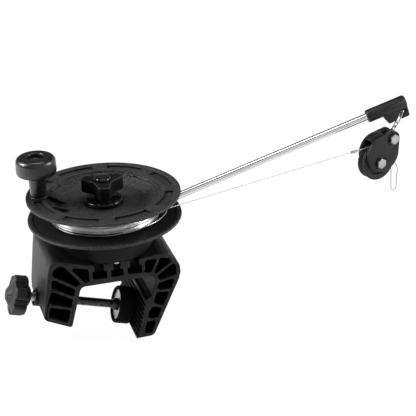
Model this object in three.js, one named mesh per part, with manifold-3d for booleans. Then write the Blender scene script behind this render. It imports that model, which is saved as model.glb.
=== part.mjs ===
// Compact clamp-on manual downrigger: a moulded clamp bracket with slide rails, a cable reel on a round
// base, a short steel boom and a pulley block hung from its tip. Millimetres, +Z up.
// The origin is on the spool axis, at the flat underside of the clamp's throat.
// +X runs towards the boom tip, and -Y faces whoever winds the reel.
import * as THREE from 'three';
import { mergeVertices } from 'three/addons/utils/BufferGeometryUtils.js';
import Module from 'manifold-3d';

const wasm = await Module();
wasm.setup();

// Shared clearances
const seatGap = 0.3; // between pieces that sit on each other
const slideGap = 0.5; // between the feet and the sides of the rail slot
const cutOverrun = 1.5; // how far a cut runs past the face it opens
const roomShare = 0.98; // of a side that its rounded corners may take

// Clamp bracket, seen from the front
const backCornerRadius = 25;
const clampTiltDegrees = 15.5; // the jaws and the screw lean by this much
const jawOpening = 71; // ribbed jaw to the inner face of the screw arm
const jawCentreX = 19.9; // where the screw's axis meets the ribbed jaw
const jawCentreDrop = 54.8;
const throatWeb = 6; // floor of the rail slot over the throat
const armLength = 9.1; // screw axis down to the inner corner of the arm's foot
const armFootRise = 5.4; // the foot's outer corner above its inner one
const armThickness = 31.2;
const armTaper = 7.4;
const shoulderRise = 62.7; // screw axis up to the sloping shoulder
const shoulderRadius = 9;
const armToeRadius = 6;
const edgeRadius = 2.5;
const throatRadius = 6;
const hipReach = 82.1; // where the outer lines on the right would meet
const hipRise = 29;
const hipRadius = 22;
const bracketRight = 66.7; // the widest point of the hip
const jawToeX = 34.8;
const jawToeDrop = 69;
const jawToeRadius = 7;

// Ribbed jaw plate
const plateStand = 6; // how far the plate stands out of the jaw wall
const plateBelowScrew = 15.4;
const plateAboveScrew = 29;
const toothCount = 8;
const toothPitch = 4.9;
const toothDepth = 1.7;

// Moulded cells in the bracket's front, with slanting webs between them.
// Each web is placed by its shares of the way along the outer and the inner wall.
const cellDepth = 66;
const cellCornerRadius = 2.2;
const webThickness = 2.8;
const cellFlatness = 0.125; // a wall that bows by less is straight in its cells
const cellCornerRoom = 3.3; // of a wall beside each web, where its bends are left out
const shoulderWall = 4.8;
const armOuterWall = 4.7;
const armInnerWall = 5.3;
const armFootWall = 3.7;
const cellShoulderRadius = 8;
const hipWall = 4;
const hipCellRadius = 18;
const jawWall = 3.5;
const slotWall = 3.6;
const throatWall = 4.6;
const throatBevel = 4.2; // slant of the inner wall where it turns down the jaw
const jawWallStepTop = 23.5; // up the jaw, where its wall steps back behind the plate
const jawWallStepBottom = 17.5;
const leftWebShares = [
  [0.262, 0.131],
  [0.505, 0.301],
  [0.652, 0.501],
  [0.852, 0.713],
];
const rightWebShares = [
  [0.128, 0.091],
  [0.273, 0.158],
  [0.422, 0.272],
  [0.561, 0.406],
  [0.731, 0.594],
  [0.853, 0.816],
];

// Rail slot in the bracket's deck, with two T-rails along its floor
const railSlotWidth = 51.6;
const railSlotMouth = 47;
const railSlotDepth = 15.7;
const lipThickness = 6.2;
const railSpacing = 17.3;
const railHeadWidth = 9.8;
const railHeadHeight = 7.8;
const railStemWidth = 4.4;

// Clamp screw, its insert, knob and pressure pad
const screwDiameter = 9.5;
const insertDiameter = 15;
const insertLength = 14;
const armBossDiameter = 19;
const armBossHeight = 5.5;
const knobStandOff = 3.3; // knob collar to the arm's boss when clamped shut
const padDiameter = 40;
const padThickness = 12;
const padEdgeRadius = 1.2;
const washerDiameter = 32;
const washerThickness = 1.4;
const retainerDiameter = 13;
const retainerLength = 4.5;
const screwIntoPad = 8;
const screwIntoKnob = 18;
const knobDiameter = 43;
const knobThickness = 12.5;
const knobEdgeRadius = 1.4;
const knobLobes = 6;
const knobValleyDepth = 1.7;
const knobValleyShare = 0.53;
const knobSerrationDepth = 0.35;
const knobPointsPerLobe = 14;
const knobCollarDiameter = 20.6;
const knobCollarNeckDiameter = 13;
const knobCollarLength = 4.5;
const knobConeHeight = 9;
const knobConeTipDiameter = 10.4;

// Base drum that slides onto the rails
const drumDiameter = 97.2;
const drumOverhang = 0.6; // past the bracket's front face
const drumTopDiameter = 93;
const drumHeight = 28.6;
const drumWall = 4;
const drumFloor = 5;
const drumBossDiameter = 26;
const drumBossSink = 2.1; // below the drum's rim
const drumRibCount = 6;
const drumRibThickness = 2.4;
const seatClearance = 0.6; // round the drum, in its seat in the deck
const footSetback = 12; // from the bracket's front face
const footBackShort = 4;
const footNeckWidth = 5.2;
const footFlangeHeight = 7.2;
const latchWidth = 4.6;
const latchThickness = 1.1;
const latchLength = 11;

// Spindle, brake disc and bushing
const spindleDiameter = 11.6;
const spindleHeadFlats = 17;
const spindleHeadHeight = 5.5;
const spindleHeadSink = 0.6; // of the head in its pocket under the drum
const spindleTop = 93.4;
const brakeDiscDiameter = 58;
const brakeDiscThickness = 3.3;
const bushingWall = 1.9;

// Spool
const flangeDiameter = 160;
const flangeThickness = 2.4;
const flangeEdgeRadius = 0.9;
const flangeRimHeight = 0.8;
const flangeRimWidth = 5.2;
const flangeGap = 22.4;
const barrelDiameter = 100;
const barrelWall = 3.5;
const bowlMouthSpread = 7.5; // the bowl's mouth, out from the barrel
const bowlFloorInset = 4.5; // the bowl's floor, in from the barrel
const bowlDepth = 10.3;
const bowlWall = 2.4;
const bowlEdgeRadius = 1.2;
const bowlFootRadius = 2.5;
const spoolHubDiameter = 28;
const lowerHubHeight = 8;
const recessCount = 8;
const recessInnerShare = 0.2; // of the way from the bowl's mouth to the flange's edge
const recessOuterShare = 0.6;
const recessDepth = 1.2;
const recessBridgeDegrees = 11;
const recessArcSteps = 4;
const gussetThickness = 2.2;
const gussetAnglesDegrees = [165, 192.5];
const gussetInset = 7.5; // of its foot, in from the edge of the bowl's floor
const gussetRootInset = 2.5; // of its root, in from the bowl's mouth

// Crank
const crankInset = 13.5; // the crank's axis, in from the flange's edge
const crankAngleDegrees = 168.2;
const crankPlatformDiameter = 32;
const crankCollarDiameter = 19.6;
const crankCollarHeight = 1.6;
const crankPostDiameter = 8;
const crankPostTopSink = 0.6; // below the floor of the knob's recess
const crankTop = 126.1;
const crankHeadDiameter = 42;
const crankHeadHeight = 20.6;
const crankHeadTopRadius = 7.5;
const crankHeadFootRadius = 2.5;
const crankHeadDraft = 0.6;
const crankStemDiameter = 18.2;
const crankStemFootDiameter = 16.5;
const crankRecessDiameter = 18;
const crankRecessDepth = 8;
const crankRecessEdgeRadius = 1.4;
const crankScrewHeadDiameter = 11;
const crankScrewHeadHeight = 3.4;
const crankScrewDiameter = 4;
const crankScrewLength = 12;
const screwSocketFlats = 3.4;
const screwSocketDepth = 1.8;

// Clutch
const clutchDiscDiameter = 40;
const clutchDiscThickness = 5;
const clutchDiscEdgeRadius = 1.4;
const clutchHubDiameter = 18.6;
const clutchHubHeight = 4.9;
const clutchHeadHeight = 14.2;
const clutchLobeReach = 22.5;
const clutchLobeWidth = 11;
const clutchLobeEdgeRadius = 1.2;
const clutchLobes = 3;
const clutchLobeAngleDegrees = 23;
const clutchWaist = 10;
const clutchFlankRadius = 16;
const capDiameter = 17.4;
const capHeight = 4.2;
const capEdgeRadius = 2.2;

// Cable: the outer layer on the drum, over a plain core, and the part that runs out
const windingWire = 0.7;
const windingLoops = 10;
const windingStepsPerLoop = 24;
const windingDepth = 6.9; // centre line of the outer layer, out from the barrel
const coreHeadroom = 0.9; // under the bowl
const windingBendRadius = 0.8;
const windingTopShift = 1.5; // outward, to the flat of the upper flange
const cableDiameter = 1;
const cableHeight = 5; // above the middle of the spool where it leaves
const crimpDiameter = 2.7;
const crimpLength = 7;
const crimpSetback = 29.6; // from the sheave axle
const strandSpacing = 1.3;
const loopNearX = 21.3;
const loopFarX = 29.2;
const loopShoulderDrop = 18;
const loopWaistDrop = 30;
const loopBottomDrop = 41.5;
const loopLeaveDegrees = 17; // round the sheave, up from level

// Boom and tip
const boomDiameter = 7.94;
const boomLength = 331;
const boomInset = 2; // into the socket's root
const boomInFromBack = 10.6; // of the boom's axis, from the back of the drum
const boomRootX = 22;
const boomRootHeight = 27.6;
const boomRiseDegrees = 15.88;
const socketDiameter = 14.6;
const socketLength = 44;
const socketScrewDiameter = 5;
const socketScrewLength = 6;
const socketScrewAlong = 34;
const tipStart = 293.4;
const tipLength = 45.9;
const tipDiameter = 14.3;
const tipEndRadius = 2;
const tipLugWidth = 8;
const tipLugDrop = 17;
const tipLugStart = 17;
const tipLugSlope = 4;
const tipLugRadius = 2;
const tipSlotWidth = 6; // along the boom
const tipSlotSlantDegrees = 42;
const tipSlotRoof = 0.15; // over the slot, below the round of the tip
const tipSlitWidth = 1.6;
const tipSlitLength = 12;
const tipPinDiameter = 2.4;
const tipPinLength = 10.6;
const tipPinAlong = 38.4; // from the tip housing's inner end
const tipPinDrop = 10.6;

// Pulley block, in the upright plane of the cable
const pulleySetback = 34.3; // sheave axle inboard of the tip pin
const pulleyDrop = 49.5;
const hangerOut = 17.4; // hanger bolt from the sheave axle
const hangerUp = 24.4;
const cheekOut = 4;
const cheekUp = 9.6;
const cheekDiameter = 42;
const cheekThickness = 3;
const cheekSpan = 12; // clear width between the cheeks
const cheekEarDiameter = 17;
const cheekArcSteps = 30;
const boltRecessDiameter = 14.6;
const boltRecessDepth = 1.2;
const boltRecessSides = 32;
const bridgeThickness = 3;
const bridgeStartDegrees = 72;
const bridgeEndDegrees = 129;
const sheaveDiameter = 41.2;
const sheaveSideGap = 0.5; // beside the cheeks
const sheaveGroove = 35;
const sheaveGrooveWidth = 3.4;
const sheaveRimWidth = 1.3;
const sheavePocketDepth = 2.5;
const sheavePocketInner = 16;
const sheavePocketOuter = 29;
const sleeveWall = 1.2;
const boltDiameter = 6;
const boltHeadFlats = 10;
const boltHeadHeight = 4;
const nutHeight = 5;
const boltEnd = 1.2; // of the thread past the nut

// Hanging links and swivel
const linkWire = 1.4;
const linkPlay = 0.4; // between a link and what it hangs from
const linkLeanDegrees = 26;
const tipLinkReach = 12.4; // tip pin to where the links cross
const tipLinkWidth = 7.4;
const chainLinkReach = 6;
const chainLinkWidth = 5.6;
const swivelWire = 1.4;
const swivelLoopWidth = 5.2;
const swivelLoopLength = 5.4;
const swivelBarrelDiameter = 5.2;
const swivelBarrelLength = 3.6;
const swivelEyeDiameter = 12.4;
const swivelEyeThickness = 3;
const swivelNeckDiameter = 2.8;
const swivelBore = 9;

// Lengths worked out from the sizes above
const bracketDepth = drumDiameter - 2 * drumOverhang;
const boomOffset = drumDiameter / 2 - boomInFromBack; // behind the spool axis
const sheaveWidth = cheekSpan - 2 * sheaveSideGap;
const deckHeight = throatWeb + railSlotDepth;
const drumBottom = deckHeight + seatGap;
const drumTop = drumBottom + drumHeight;
const drumBossTop = drumTop - drumBossSink;
const brakeDiscBottom = drumBossTop + seatGap;
const spoolBottom = brakeDiscBottom + brakeDiscThickness + seatGap;
const lowerFlangeTop = spoolBottom + flangeThickness;
const upperFlangeBottom = lowerFlangeTop + flangeGap;
const spoolTop = upperFlangeBottom + flangeThickness;
const spoolMiddle = (lowerFlangeTop + upperFlangeBottom) / 2;
const bowlFloor = spoolTop - bowlDepth;
const flangeRadius = flangeDiameter / 2;
const barrelRadius = barrelDiameter / 2;
const spindleRadius = spindleDiameter / 2;
const bushingInner = spindleRadius + seatGap;
const bushingOuter = bushingInner + bushingWall;
const spoolBore = bushingOuter + seatGap;
const windingRadius = barrelRadius + windingDepth;
const cableReach = windingRadius + windingWire / 2 + seatGap + cableDiameter / 2;
const clampTilt = THREE.MathUtils.degToRad(clampTiltDegrees);
const boomRise = THREE.MathUtils.degToRad(boomRiseDegrees);
const crankRadius = flangeRadius - crankInset;
const crankAngle = THREE.MathUtils.degToRad(crankAngleDegrees);
const frontY = -bracketDepth / 2;
const backY = bracketDepth / 2;

// Makes a solid of a closed three.js geometry, with its faces outward
function solid(shape) {
  if (!shape.isBufferGeometry) return shape;
  const bare = shape.clone();
  bare.deleteAttribute('normal');
  bare.deleteAttribute('uv');
  const merged = mergeVertices(bare);
  const corners = merged.index.array;
  const faces = [];
  for (let at = 0; at < corners.length; at += 3) {
    const [a, b, c] = corners.slice(at, at + 3);
    if (a !== b && b !== c && c !== a) faces.push(a, b, c);
  }
  const vertProperties = Float32Array.from(merged.getAttribute('position').array);
  const made = new wasm.Manifold(
    new wasm.Mesh({ numProp: 3, vertProperties, triVerts: Uint32Array.from(faces) }),
  );
  if (made.volume() > 0) return made;
  const turnedFaces = Uint32Array.from(faces.reverse());
  return new wasm.Manifold(new wasm.Mesh({ numProp: 3, vertProperties, triVerts: turnedFaces }));
}

function geometryOf(made) {
  const mesh = made.getMesh();
  const geometry = new THREE.BufferGeometry();
  geometry.setAttribute('position', new THREE.BufferAttribute(mesh.vertProperties, mesh.numProp));
  geometry.setIndex(new THREE.BufferAttribute(mesh.triVerts, 1));
  return geometry;
}

function joined(...shapes) {
  return shapes.map(solid).reduce((sum, next) => sum.add(next));
}

function without(shape, ...tools) {
  return tools.map(solid).reduce((rest, tool) => rest.subtract(tool), solid(shape));
}

// Points round the corners [x, y, radius] of a polygon, with true arcs at the corners
function roundedPoints(corners, arcSteps = 4) {
  return corners.flatMap(([x, y, radius = 0], index) => {
    const corner = new THREE.Vector2(x, y);
    if (radius === 0) return [corner];
    const before = corners[(index + corners.length - 1) % corners.length];
    const after = corners[(index + 1) % corners.length];
    const back = new THREE.Vector2(before[0], before[1]).sub(corner);
    const ahead = new THREE.Vector2(after[0], after[1]).sub(corner);
    const room = Math.min(
      back.length() * (before[2] ? roomShare / 2 : roomShare),
      ahead.length() * (after[2] ? roomShare / 2 : roomShare),
    );
    back.normalize();
    ahead.normalize();
    const half = Math.acos(THREE.MathUtils.clamp(back.dot(ahead), -1, 1)) / 2;
    const reach = Math.min(radius / Math.tan(half), room);
    const middle = back.clone().add(ahead).normalize();
    const centre = corner.clone().addScaledVector(middle, reach / Math.cos(half));
    const start = corner.clone().addScaledVector(back, reach).sub(centre);
    const turn = Math.sign(ahead.cross(back)) * (Math.PI - 2 * half);
    return Array.from({ length: arcSteps + 1 }, (_, step) =>
      start.clone().rotateAround(new THREE.Vector2(), (turn * step) / arcSteps).add(centre),
    );
  });
}

// A closed profile of [radius, height, corner radius] turned about Z
function turned(profile, segments = 24, arcSteps = 2) {
  const points = roundedPoints(profile, arcSteps);
  points.push(points[0].clone());
  return new THREE.LatheGeometry(points, segments).rotateX(Math.PI / 2);
}

function ring(innerRadius, outerRadius, bottom, top, segments = 24) {
  const profile = [
    [innerRadius, bottom],
    [outerRadius, bottom],
    [outerRadius, top],
    [innerRadius, top],
  ];
  return turned(profile, segments);
}

function rod(radius, bottom, top, segments = 20) {
  const height = top - bottom;
  const cylinder = new THREE.CylinderGeometry(radius, radius, height, segments);
  return cylinder.rotateX(Math.PI / 2).translate(0, 0, bottom + height / 2);
}

function block(low, high) {
  const [width, depth, height] = high.map((value, axis) => value - low[axis]);
  const box = new THREE.BoxGeometry(width, depth, height);
  return box.translate(low[0] + width / 2, low[1] + depth / 2, low[2] + height / 2);
}

// A hexagonal bar about Z, given across its flats
function hexagon(flats, bottom, top) {
  return rod(flats / 2 / Math.cos(Math.PI / 6), bottom, top, 6);
}

// A flat outline in X and Z, carried along Y from front to back
function carriedAlongY(points, front, back) {
  const depth = back - front;
  const extruded = new THREE.ExtrudeGeometry(new THREE.Shape(points), { depth, bevelEnabled: false });
  return extruded.rotateX(Math.PI / 2).translate(0, back, 0);
}

// A flat outline in X and Y, carried up along Z
function carriedUp(points, bottom, top) {
  const depth = top - bottom;
  const extruded = new THREE.ExtrudeGeometry(new THREE.Shape(points), { depth, bevelEnabled: false });
  return extruded.translate(0, 0, bottom);
}

// A shape made about Z is laid along X, or along Y
const alongX = (geometry) => geometry.rotateY(Math.PI / 2);
const alongY = (geometry) => geometry.rotateX(-Math.PI / 2);

// A round wire or bar through points, with one section at each point
function wireThrough(points, radius, sides = 8) {
  const curve = new THREE.CatmullRomCurve3(points, false, 'centripetal');
  curve.getPointAt = curve.getPoint;
  curve.getTangentAt = curve.getTangent;
  const section = Array.from({ length: sides }, (_, side) => {
    const angle = (2 * Math.PI * side) / sides;
    return new THREE.Vector2(radius * Math.cos(angle), radius * Math.sin(angle));
  });
  const steps = points.length - 1;
  return new THREE.ExtrudeGeometry(new THREE.Shape(section), {
    extrudePath: curve,
    steps,
    bevelEnabled: false,
  });
}

// An oval ring of round wire in the XZ plane, its long way up, between two wire centres
function ovalLink(topCentre, bottomCentre, width, wire) {
  const bend = (width - wire) / 2;
  const middle = (topCentre + bottomCentre) / 2;
  const straight = (topCentre - bottomCentre) / 2 - bend;
  const stepsPerBend = 6;
  const sides = 8;
  const positions = [];
  const sections = 2 * (stepsPerBend + 1);
  for (let at = 0; at < sections; at += 1) {
    const lower = at > stepsPerBend;
    const step = lower ? at - stepsPerBend - 1 : at;
    const angle = (lower ? Math.PI : 0) + (Math.PI * step) / stepsPerBend;
    const shift = middle + (lower ? -straight : straight);
    for (let side = 0; side < sides; side += 1) {
      const about = (2 * Math.PI * side) / sides;
      const out = bend + (wire / 2) * Math.cos(about);
      positions.push(out * Math.cos(angle), (wire / 2) * Math.sin(about), shift + out * Math.sin(angle));
    }
  }
  const index = [];
  for (let at = 0; at < sections; at += 1) {
    const next = (at + 1) % sections;
    for (let side = 0; side < sides; side += 1) {
      const beside = (side + 1) % sides;
      index.push(at * sides + side, next * sides + side, next * sides + beside);
      index.push(at * sides + side, next * sides + beside, at * sides + beside);
    }
  }
  const geometry = new THREE.BufferGeometry();
  geometry.setAttribute('position', new THREE.Float32BufferAttribute(positions, 3));
  geometry.setIndex(index);
  return geometry;
}

// Finishes of the real pieces
const finish = {
  blackMoulding: { color: 0x1b1b1d, roughness: 0.62, metalness: 0 },
  greyMoulding: { color: 0x2c2c2e, roughness: 0.6, metalness: 0 },
  glossBlack: { color: 0x101012, roughness: 0.18, metalness: 0 },
  blackRubber: { color: 0x131314, roughness: 0.85, metalness: 0 },
  brightSteel: { color: 0xc9cacc, roughness: 0.22, metalness: 1 },
  darkSteel: { color: 0x55565a, roughness: 0.4, metalness: 1 },
  brass: { color: 0xb08d4c, roughness: 0.35, metalness: 1 },
  acetal: { color: 0xe8e4d8, roughness: 0.5, metalness: 0 },
  brakeLining: { color: 0x4a3b2e, roughness: 0.9, metalness: 0 },
};

function piece(parent, name, shape, look) {
  const material = new THREE.MeshStandardMaterial(finish[look]);
  const mesh = new THREE.Mesh(geometryOf(solid(shape)), material);
  mesh.name = name;
  parent.add(mesh);
  return mesh;
}

const group = new THREE.Group();

// Clamp bracket. The clamp's frame leans with the jaws: its origin is where the screw's axis meets the
// ribbed jaw, X runs along the screw into the jaw, and Z runs up along the jaw.
const clampFrame = new THREE.Group();
clampFrame.position.set(jawCentreX, 0, -jawCentreDrop);
clampFrame.rotation.y = clampTilt;
clampFrame.updateMatrix();
group.add(clampFrame);

// A point of the clamp's frame as [x, z, radius] of the bracket's outline
function leaning(along, up, radius = 0) {
  const x = jawCentreX + along * Math.cos(clampTilt) + up * Math.sin(clampTilt);
  const z = -jawCentreDrop - along * Math.sin(clampTilt) + up * Math.cos(clampTilt);
  return [x, z, radius];
}

// Where a line at a fixed distance along the screw reaches a height
function leaningAtHeight(along, height, radius = 0) {
  const up = (height + jawCentreDrop + along * Math.sin(clampTilt)) / Math.cos(clampTilt);
  return leaning(along, up, radius);
}

// Where two lines of the outline meet when each is moved inward by its own wall
function innerCorner(firstLine, secondLine, radius = 0) {
  const [first, second] = [firstLine, secondLine].map(([start, end, wall]) => {
    const along = new THREE.Vector2(end[0] - start[0], end[1] - start[1]).normalize();
    const inward = new THREE.Vector2(along.y, -along.x);
    return { along, point: new THREE.Vector2(start[0], start[1]).addScaledVector(inward, wall) };
  });
  const apart = second.point.clone().sub(first.point);
  const reach = apart.cross(second.along) / first.along.cross(second.along);
  const corner = first.point.addScaledVector(first.along, reach);
  return [corner.x, corner.y, radius];
}

const jawFoot = plateBelowScrew - toothDepth;
const jawTeeth = Array.from({ length: toothCount }, (_, tooth) => {
  const foot = tooth * toothPitch - jawFoot;
  const crest = leaning(toothDepth, foot + toothPitch - toothDepth);
  return [leaning(0, foot), crest, leaning(0, foot + toothPitch)];
});
const throatLeft = leaningAtHeight(-jawOpening, 0, throatRadius);
const armFootInner = leaning(-jawOpening, -armLength, edgeRadius);
const armFootOuter = leaning(-jawOpening - armThickness, armFootRise - armLength, armToeRadius);
const shoulder = leaning(-jawOpening - armThickness - armTaper, shoulderRise, shoulderRadius);
const deckLeft = [-railSlotMouth / 2, deckHeight];
const deckRight = [railSlotMouth / 2, deckHeight];
const hip = [hipReach, hipRise, hipRadius];
const jawToe = [jawToeX, -jawToeDrop, jawToeRadius];
const bracketOutline = [
  throatLeft,
  armFootInner,
  armFootOuter,
  shoulder,
  deckLeft,
  deckRight,
  hip,
  jawToe,
  leaning(0, -plateBelowScrew),
  ...jawTeeth.flat(),
  leaning(0, plateAboveScrew),
  leaning(plateStand, plateAboveScrew + plateStand),
  leaningAtHeight(plateStand, 0, throatRadius),
];

// Plan of the bracket: square at the front, round at both back corners
const planLeft = armFootOuter[0];
const planPoints = roundedPoints([
  [planLeft, frontY - cutOverrun],
  [bracketRight, frontY - cutOverrun],
  [bracketRight, backY, backCornerRadius],
  [planLeft, backY, backCornerRadius],
]);

// A wall's line with its arcs, and how far along each of its points lies
function wallLine(corners) {
  const points = roundedPoints(corners, 6);
  const path = new THREE.CurvePath();
  points.slice(1).forEach((point, index) => path.add(new THREE.LineCurve(points[index], point)));
  const length = path.getLength();
  const shares = [0, ...path.getCurveLengths().map((reached) => reached / length)];
  return { points, path, length, shares };
}

// Where one side of a web meets a wall; the walls' own ends have no web
function webEdge(wall, share, direction, side) {
  if (share === 0 || share === 1) return share;
  const crossing = Math.abs(wall.path.getTangentAt(share).cross(direction));
  return share + (side * webThickness) / 2 / crossing / wall.length;
}

// The corners of a stretch of a wall, from one share of its length to another
function wallStretch(wall, from, to) {
  const [start, end] = [wall.path.getPointAt(from), wall.path.getPointAt(to)];
  const clear = cellCornerRoom / wall.length;
  const bends = wall.points.filter((_, at) => wall.shares[at] > from + clear && wall.shares[at] < to - clear);
  const straight = new THREE.Vector2().subVectors(end, start).normalize();
  const bowed = bends.filter((bend) => Math.abs(bend.clone().sub(start).cross(straight)) > cellFlatness);
  return [
    [start.x, start.y, cellCornerRadius],
    ...bowed.map((bend) => [bend.x, bend.y]),
    [end.x, end.y, cellCornerRadius],
  ];
}

function cellOutlines(outer, inner, webShares) {
  const webs = [[0, 0], ...webShares, [1, 1]];
  return webs.slice(1).map((next, index) => {
    const sides = [webs[index], next].map(([outerShare, innerShare], at) => {
      const outerPoint = outer.path.getPointAt(outerShare);
      const direction = inner.path.getPointAt(innerShare).sub(outerPoint).normalize();
      const side = at === 0 ? 1 : -1;
      return [webEdge(outer, outerShare, direction, side), webEdge(inner, innerShare, direction, side)];
    });
    const outerSide = wallStretch(outer, sides[0][0], sides[1][0]);
    const innerSide = wallStretch(inner, sides[0][1], sides[1][1]);
    return roundedPoints([...outerSide, ...innerSide.reverse()]);
  });
}

// Lines of the outline, each with the wall that stands inside it
const slotSide = railSlotWidth / 2 + slotWall;
const deckLine = [deckLeft, shoulder, -shoulderWall];
const armOuterLine = [shoulder, armFootOuter, -armOuterWall];
const armFootLine = [armFootOuter, armFootInner, -armFootWall];
const armInnerLine = [leaning(-jawOpening, 0), leaning(-jawOpening, shoulderRise), -armInnerWall];
const slotLeftLine = [[-slotSide, deckHeight], [-slotSide, 0], 0];
const leftOuterWall = wallLine([
  innerCorner(slotLeftLine, deckLine),
  innerCorner(deckLine, armOuterLine, cellShoulderRadius),
  innerCorner(armOuterLine, armFootLine),
]);
const leftThroatCorner = leaningAtHeight(-jawOpening - armInnerWall, throatWall, throatRadius);
const leftInnerWall = wallLine([
  [-slotSide, throatWall],
  leftThroatCorner,
  innerCorner(armInnerLine, armFootLine),
]);
const hipTopLine = [deckRight, hip, hipWall];
const hipOuterLine = [hip, jawToe, hipWall];
const slotRightLine = [[slotSide, 0], [slotSide, deckHeight], 0];
const jawCellFoot = -jawToeDrop + jawWall;
const jawFootLine = [[jawToeX, -jawToeDrop], [0, -jawToeDrop], jawWall];
const jawFootCorner = innerCorner(hipOuterLine, jawFootLine);
const rightOuterWall = wallLine([
  innerCorner(slotRightLine, hipTopLine),
  innerCorner(hipTopLine, hipOuterLine, hipCellRadius),
  jawFootCorner,
]);
const plateBack = plateStand + jawWall;
const jawWallBack = plateStand + toothDepth / 2;
const rightInnerWall = wallLine([
  [slotSide, throatWall],
  [leaningAtHeight(plateBack, throatWall)[0] - throatBevel * 2, throatWall],
  leaningAtHeight(plateBack, -throatBevel),
  leaning(plateBack, jawWallStepTop),
  leaning(jawWallBack, jawWallStepBottom),
  leaningAtHeight(jawWallBack, jawCellFoot),
]);
const cells = [
  ...cellOutlines(leftOuterWall, leftInnerWall, leftWebShares),
  ...cellOutlines(rightOuterWall, rightInnerWall, rightWebShares),
];

// Rails on the floor of the slot, and the round seat of the drum with its way out at the back
const halfSlot = railSlotWidth / 2;
const railSides = [-1, 1];
const rails = railSides.flatMap((side) => {
  const middle = (side * railSpacing) / 2;
  const headBottom = deckHeight - railHeadHeight;
  const stem = [middle - railStemWidth / 2, middle + railStemWidth / 2];
  const head = [middle - railHeadWidth / 2, middle + railHeadWidth / 2];
  return [
    block([stem[0], frontY, throatWeb / 2], [stem[1], backY, headBottom + railStemWidth / 2]),
    block([head[0], frontY, headBottom], [head[1], backY, deckHeight]),
  ];
});
const seatRadius = drumDiameter / 2 + seatClearance;
const seatTop = deckHeight + drumHeight;
const slotCuts = [
  block(
    [-halfSlot, frontY - cutOverrun, throatWeb],
    [halfSlot, backY + cutOverrun, deckHeight - lipThickness],
  ),
  block(
    [-railSlotMouth / 2, frontY - cutOverrun, throatWeb + edgeRadius],
    [railSlotMouth / 2, backY + cutOverrun, seatTop],
  ),
];
const seatCuts = [
  rod(seatRadius, deckHeight, seatTop, 48),
  block([-seatRadius, 0, deckHeight], [seatRadius, backY + cutOverrun, seatTop]),
];

// The screw's boss through the hollow arm
const screwRadius = screwDiameter / 2;
const screwBore = screwRadius + seatGap;
const armOuterFace = -jawOpening - armThickness;
const bossFace = armOuterFace - armBossHeight;
const insertRadius = insertDiameter / 2;
const boss = alongX(rod(armBossDiameter / 2, bossFace, -jawOpening - edgeRadius, 32));
const screwCuts = [
  alongX(rod(screwBore, bossFace - cutOverrun, cutOverrun - jawOpening)),
  alongX(rod(insertRadius + seatGap, bossFace - cutOverrun, bossFace + insertLength + seatGap)),
];
const inClampFrame = (geometry) => geometry.applyMatrix4(clampFrame.matrix);

const bracketBody = solid(carriedAlongY(roundedPoints(bracketOutline, 6), frontY, backY))
  .intersect(solid(carriedUp(planPoints, -jawToeDrop * 2, seatTop)));
const cellCuts = cells.map((outline) => carriedAlongY(outline, frontY - cutOverrun, frontY + cellDepth));
const hollowBracket = without(bracketBody, ...cellCuts, ...slotCuts);
const bossedBracket = joined(hollowBracket, inClampFrame(boss), ...rails);
piece(
  group,
  'clamp_bracket',
  without(bossedBracket, ...screwCuts.map(inClampFrame), ...seatCuts),
  'blackMoulding',
);

// Threaded insert in the arm's boss
piece(
  clampFrame,
  'screw_insert',
  alongX(ring(screwBore, insertRadius, bossFace, bossFace + insertLength)),
  'brass',
);

// Clamp screw, with the pad, washer and retainer at its end and the hand knob moulded over its head
const padFace = -seatGap;
const padBack = padFace - padThickness;
const screwTip = padBack + screwIntoPad;
const collarFace = bossFace - knobStandOff;
const screwHead = collarFace - screwIntoKnob;
piece(clampFrame, 'clamp_screw', alongX(rod(screwRadius, screwHead, screwTip)), 'darkSteel');

const padRadius = padDiameter / 2;
piece(
  clampFrame,
  'pressure_pad',
  alongX(
    turned(
      [
        [0, screwTip + seatGap],
        [screwBore, screwTip + seatGap],
        [screwBore, padBack],
        [padRadius, padBack, padEdgeRadius],
        [padRadius, padFace, padEdgeRadius],
        [0, padFace],
      ],
      36,
      1,
    ),
  ),
  'blackRubber',
);
const washerFace = padBack - seatGap;
const washerBack = washerFace - washerThickness;
piece(
  clampFrame,
  'pad_washer',
  alongX(ring(screwBore, washerDiameter / 2, washerBack, washerFace, 32)),
  'brightSteel',
);
const retainerFace = washerBack - seatGap;
piece(
  clampFrame,
  'pad_retainer',
  alongX(
    turned([
      [screwBore, retainerFace - retainerLength],
      [retainerDiameter / 2 - padEdgeRadius, retainerFace - retainerLength],
      [retainerDiameter / 2, retainerFace - retainerLength / 2],
      [retainerDiameter / 2, retainerFace],
      [screwBore, retainerFace],
    ]),
  ),
  'darkSteel',
);

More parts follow.
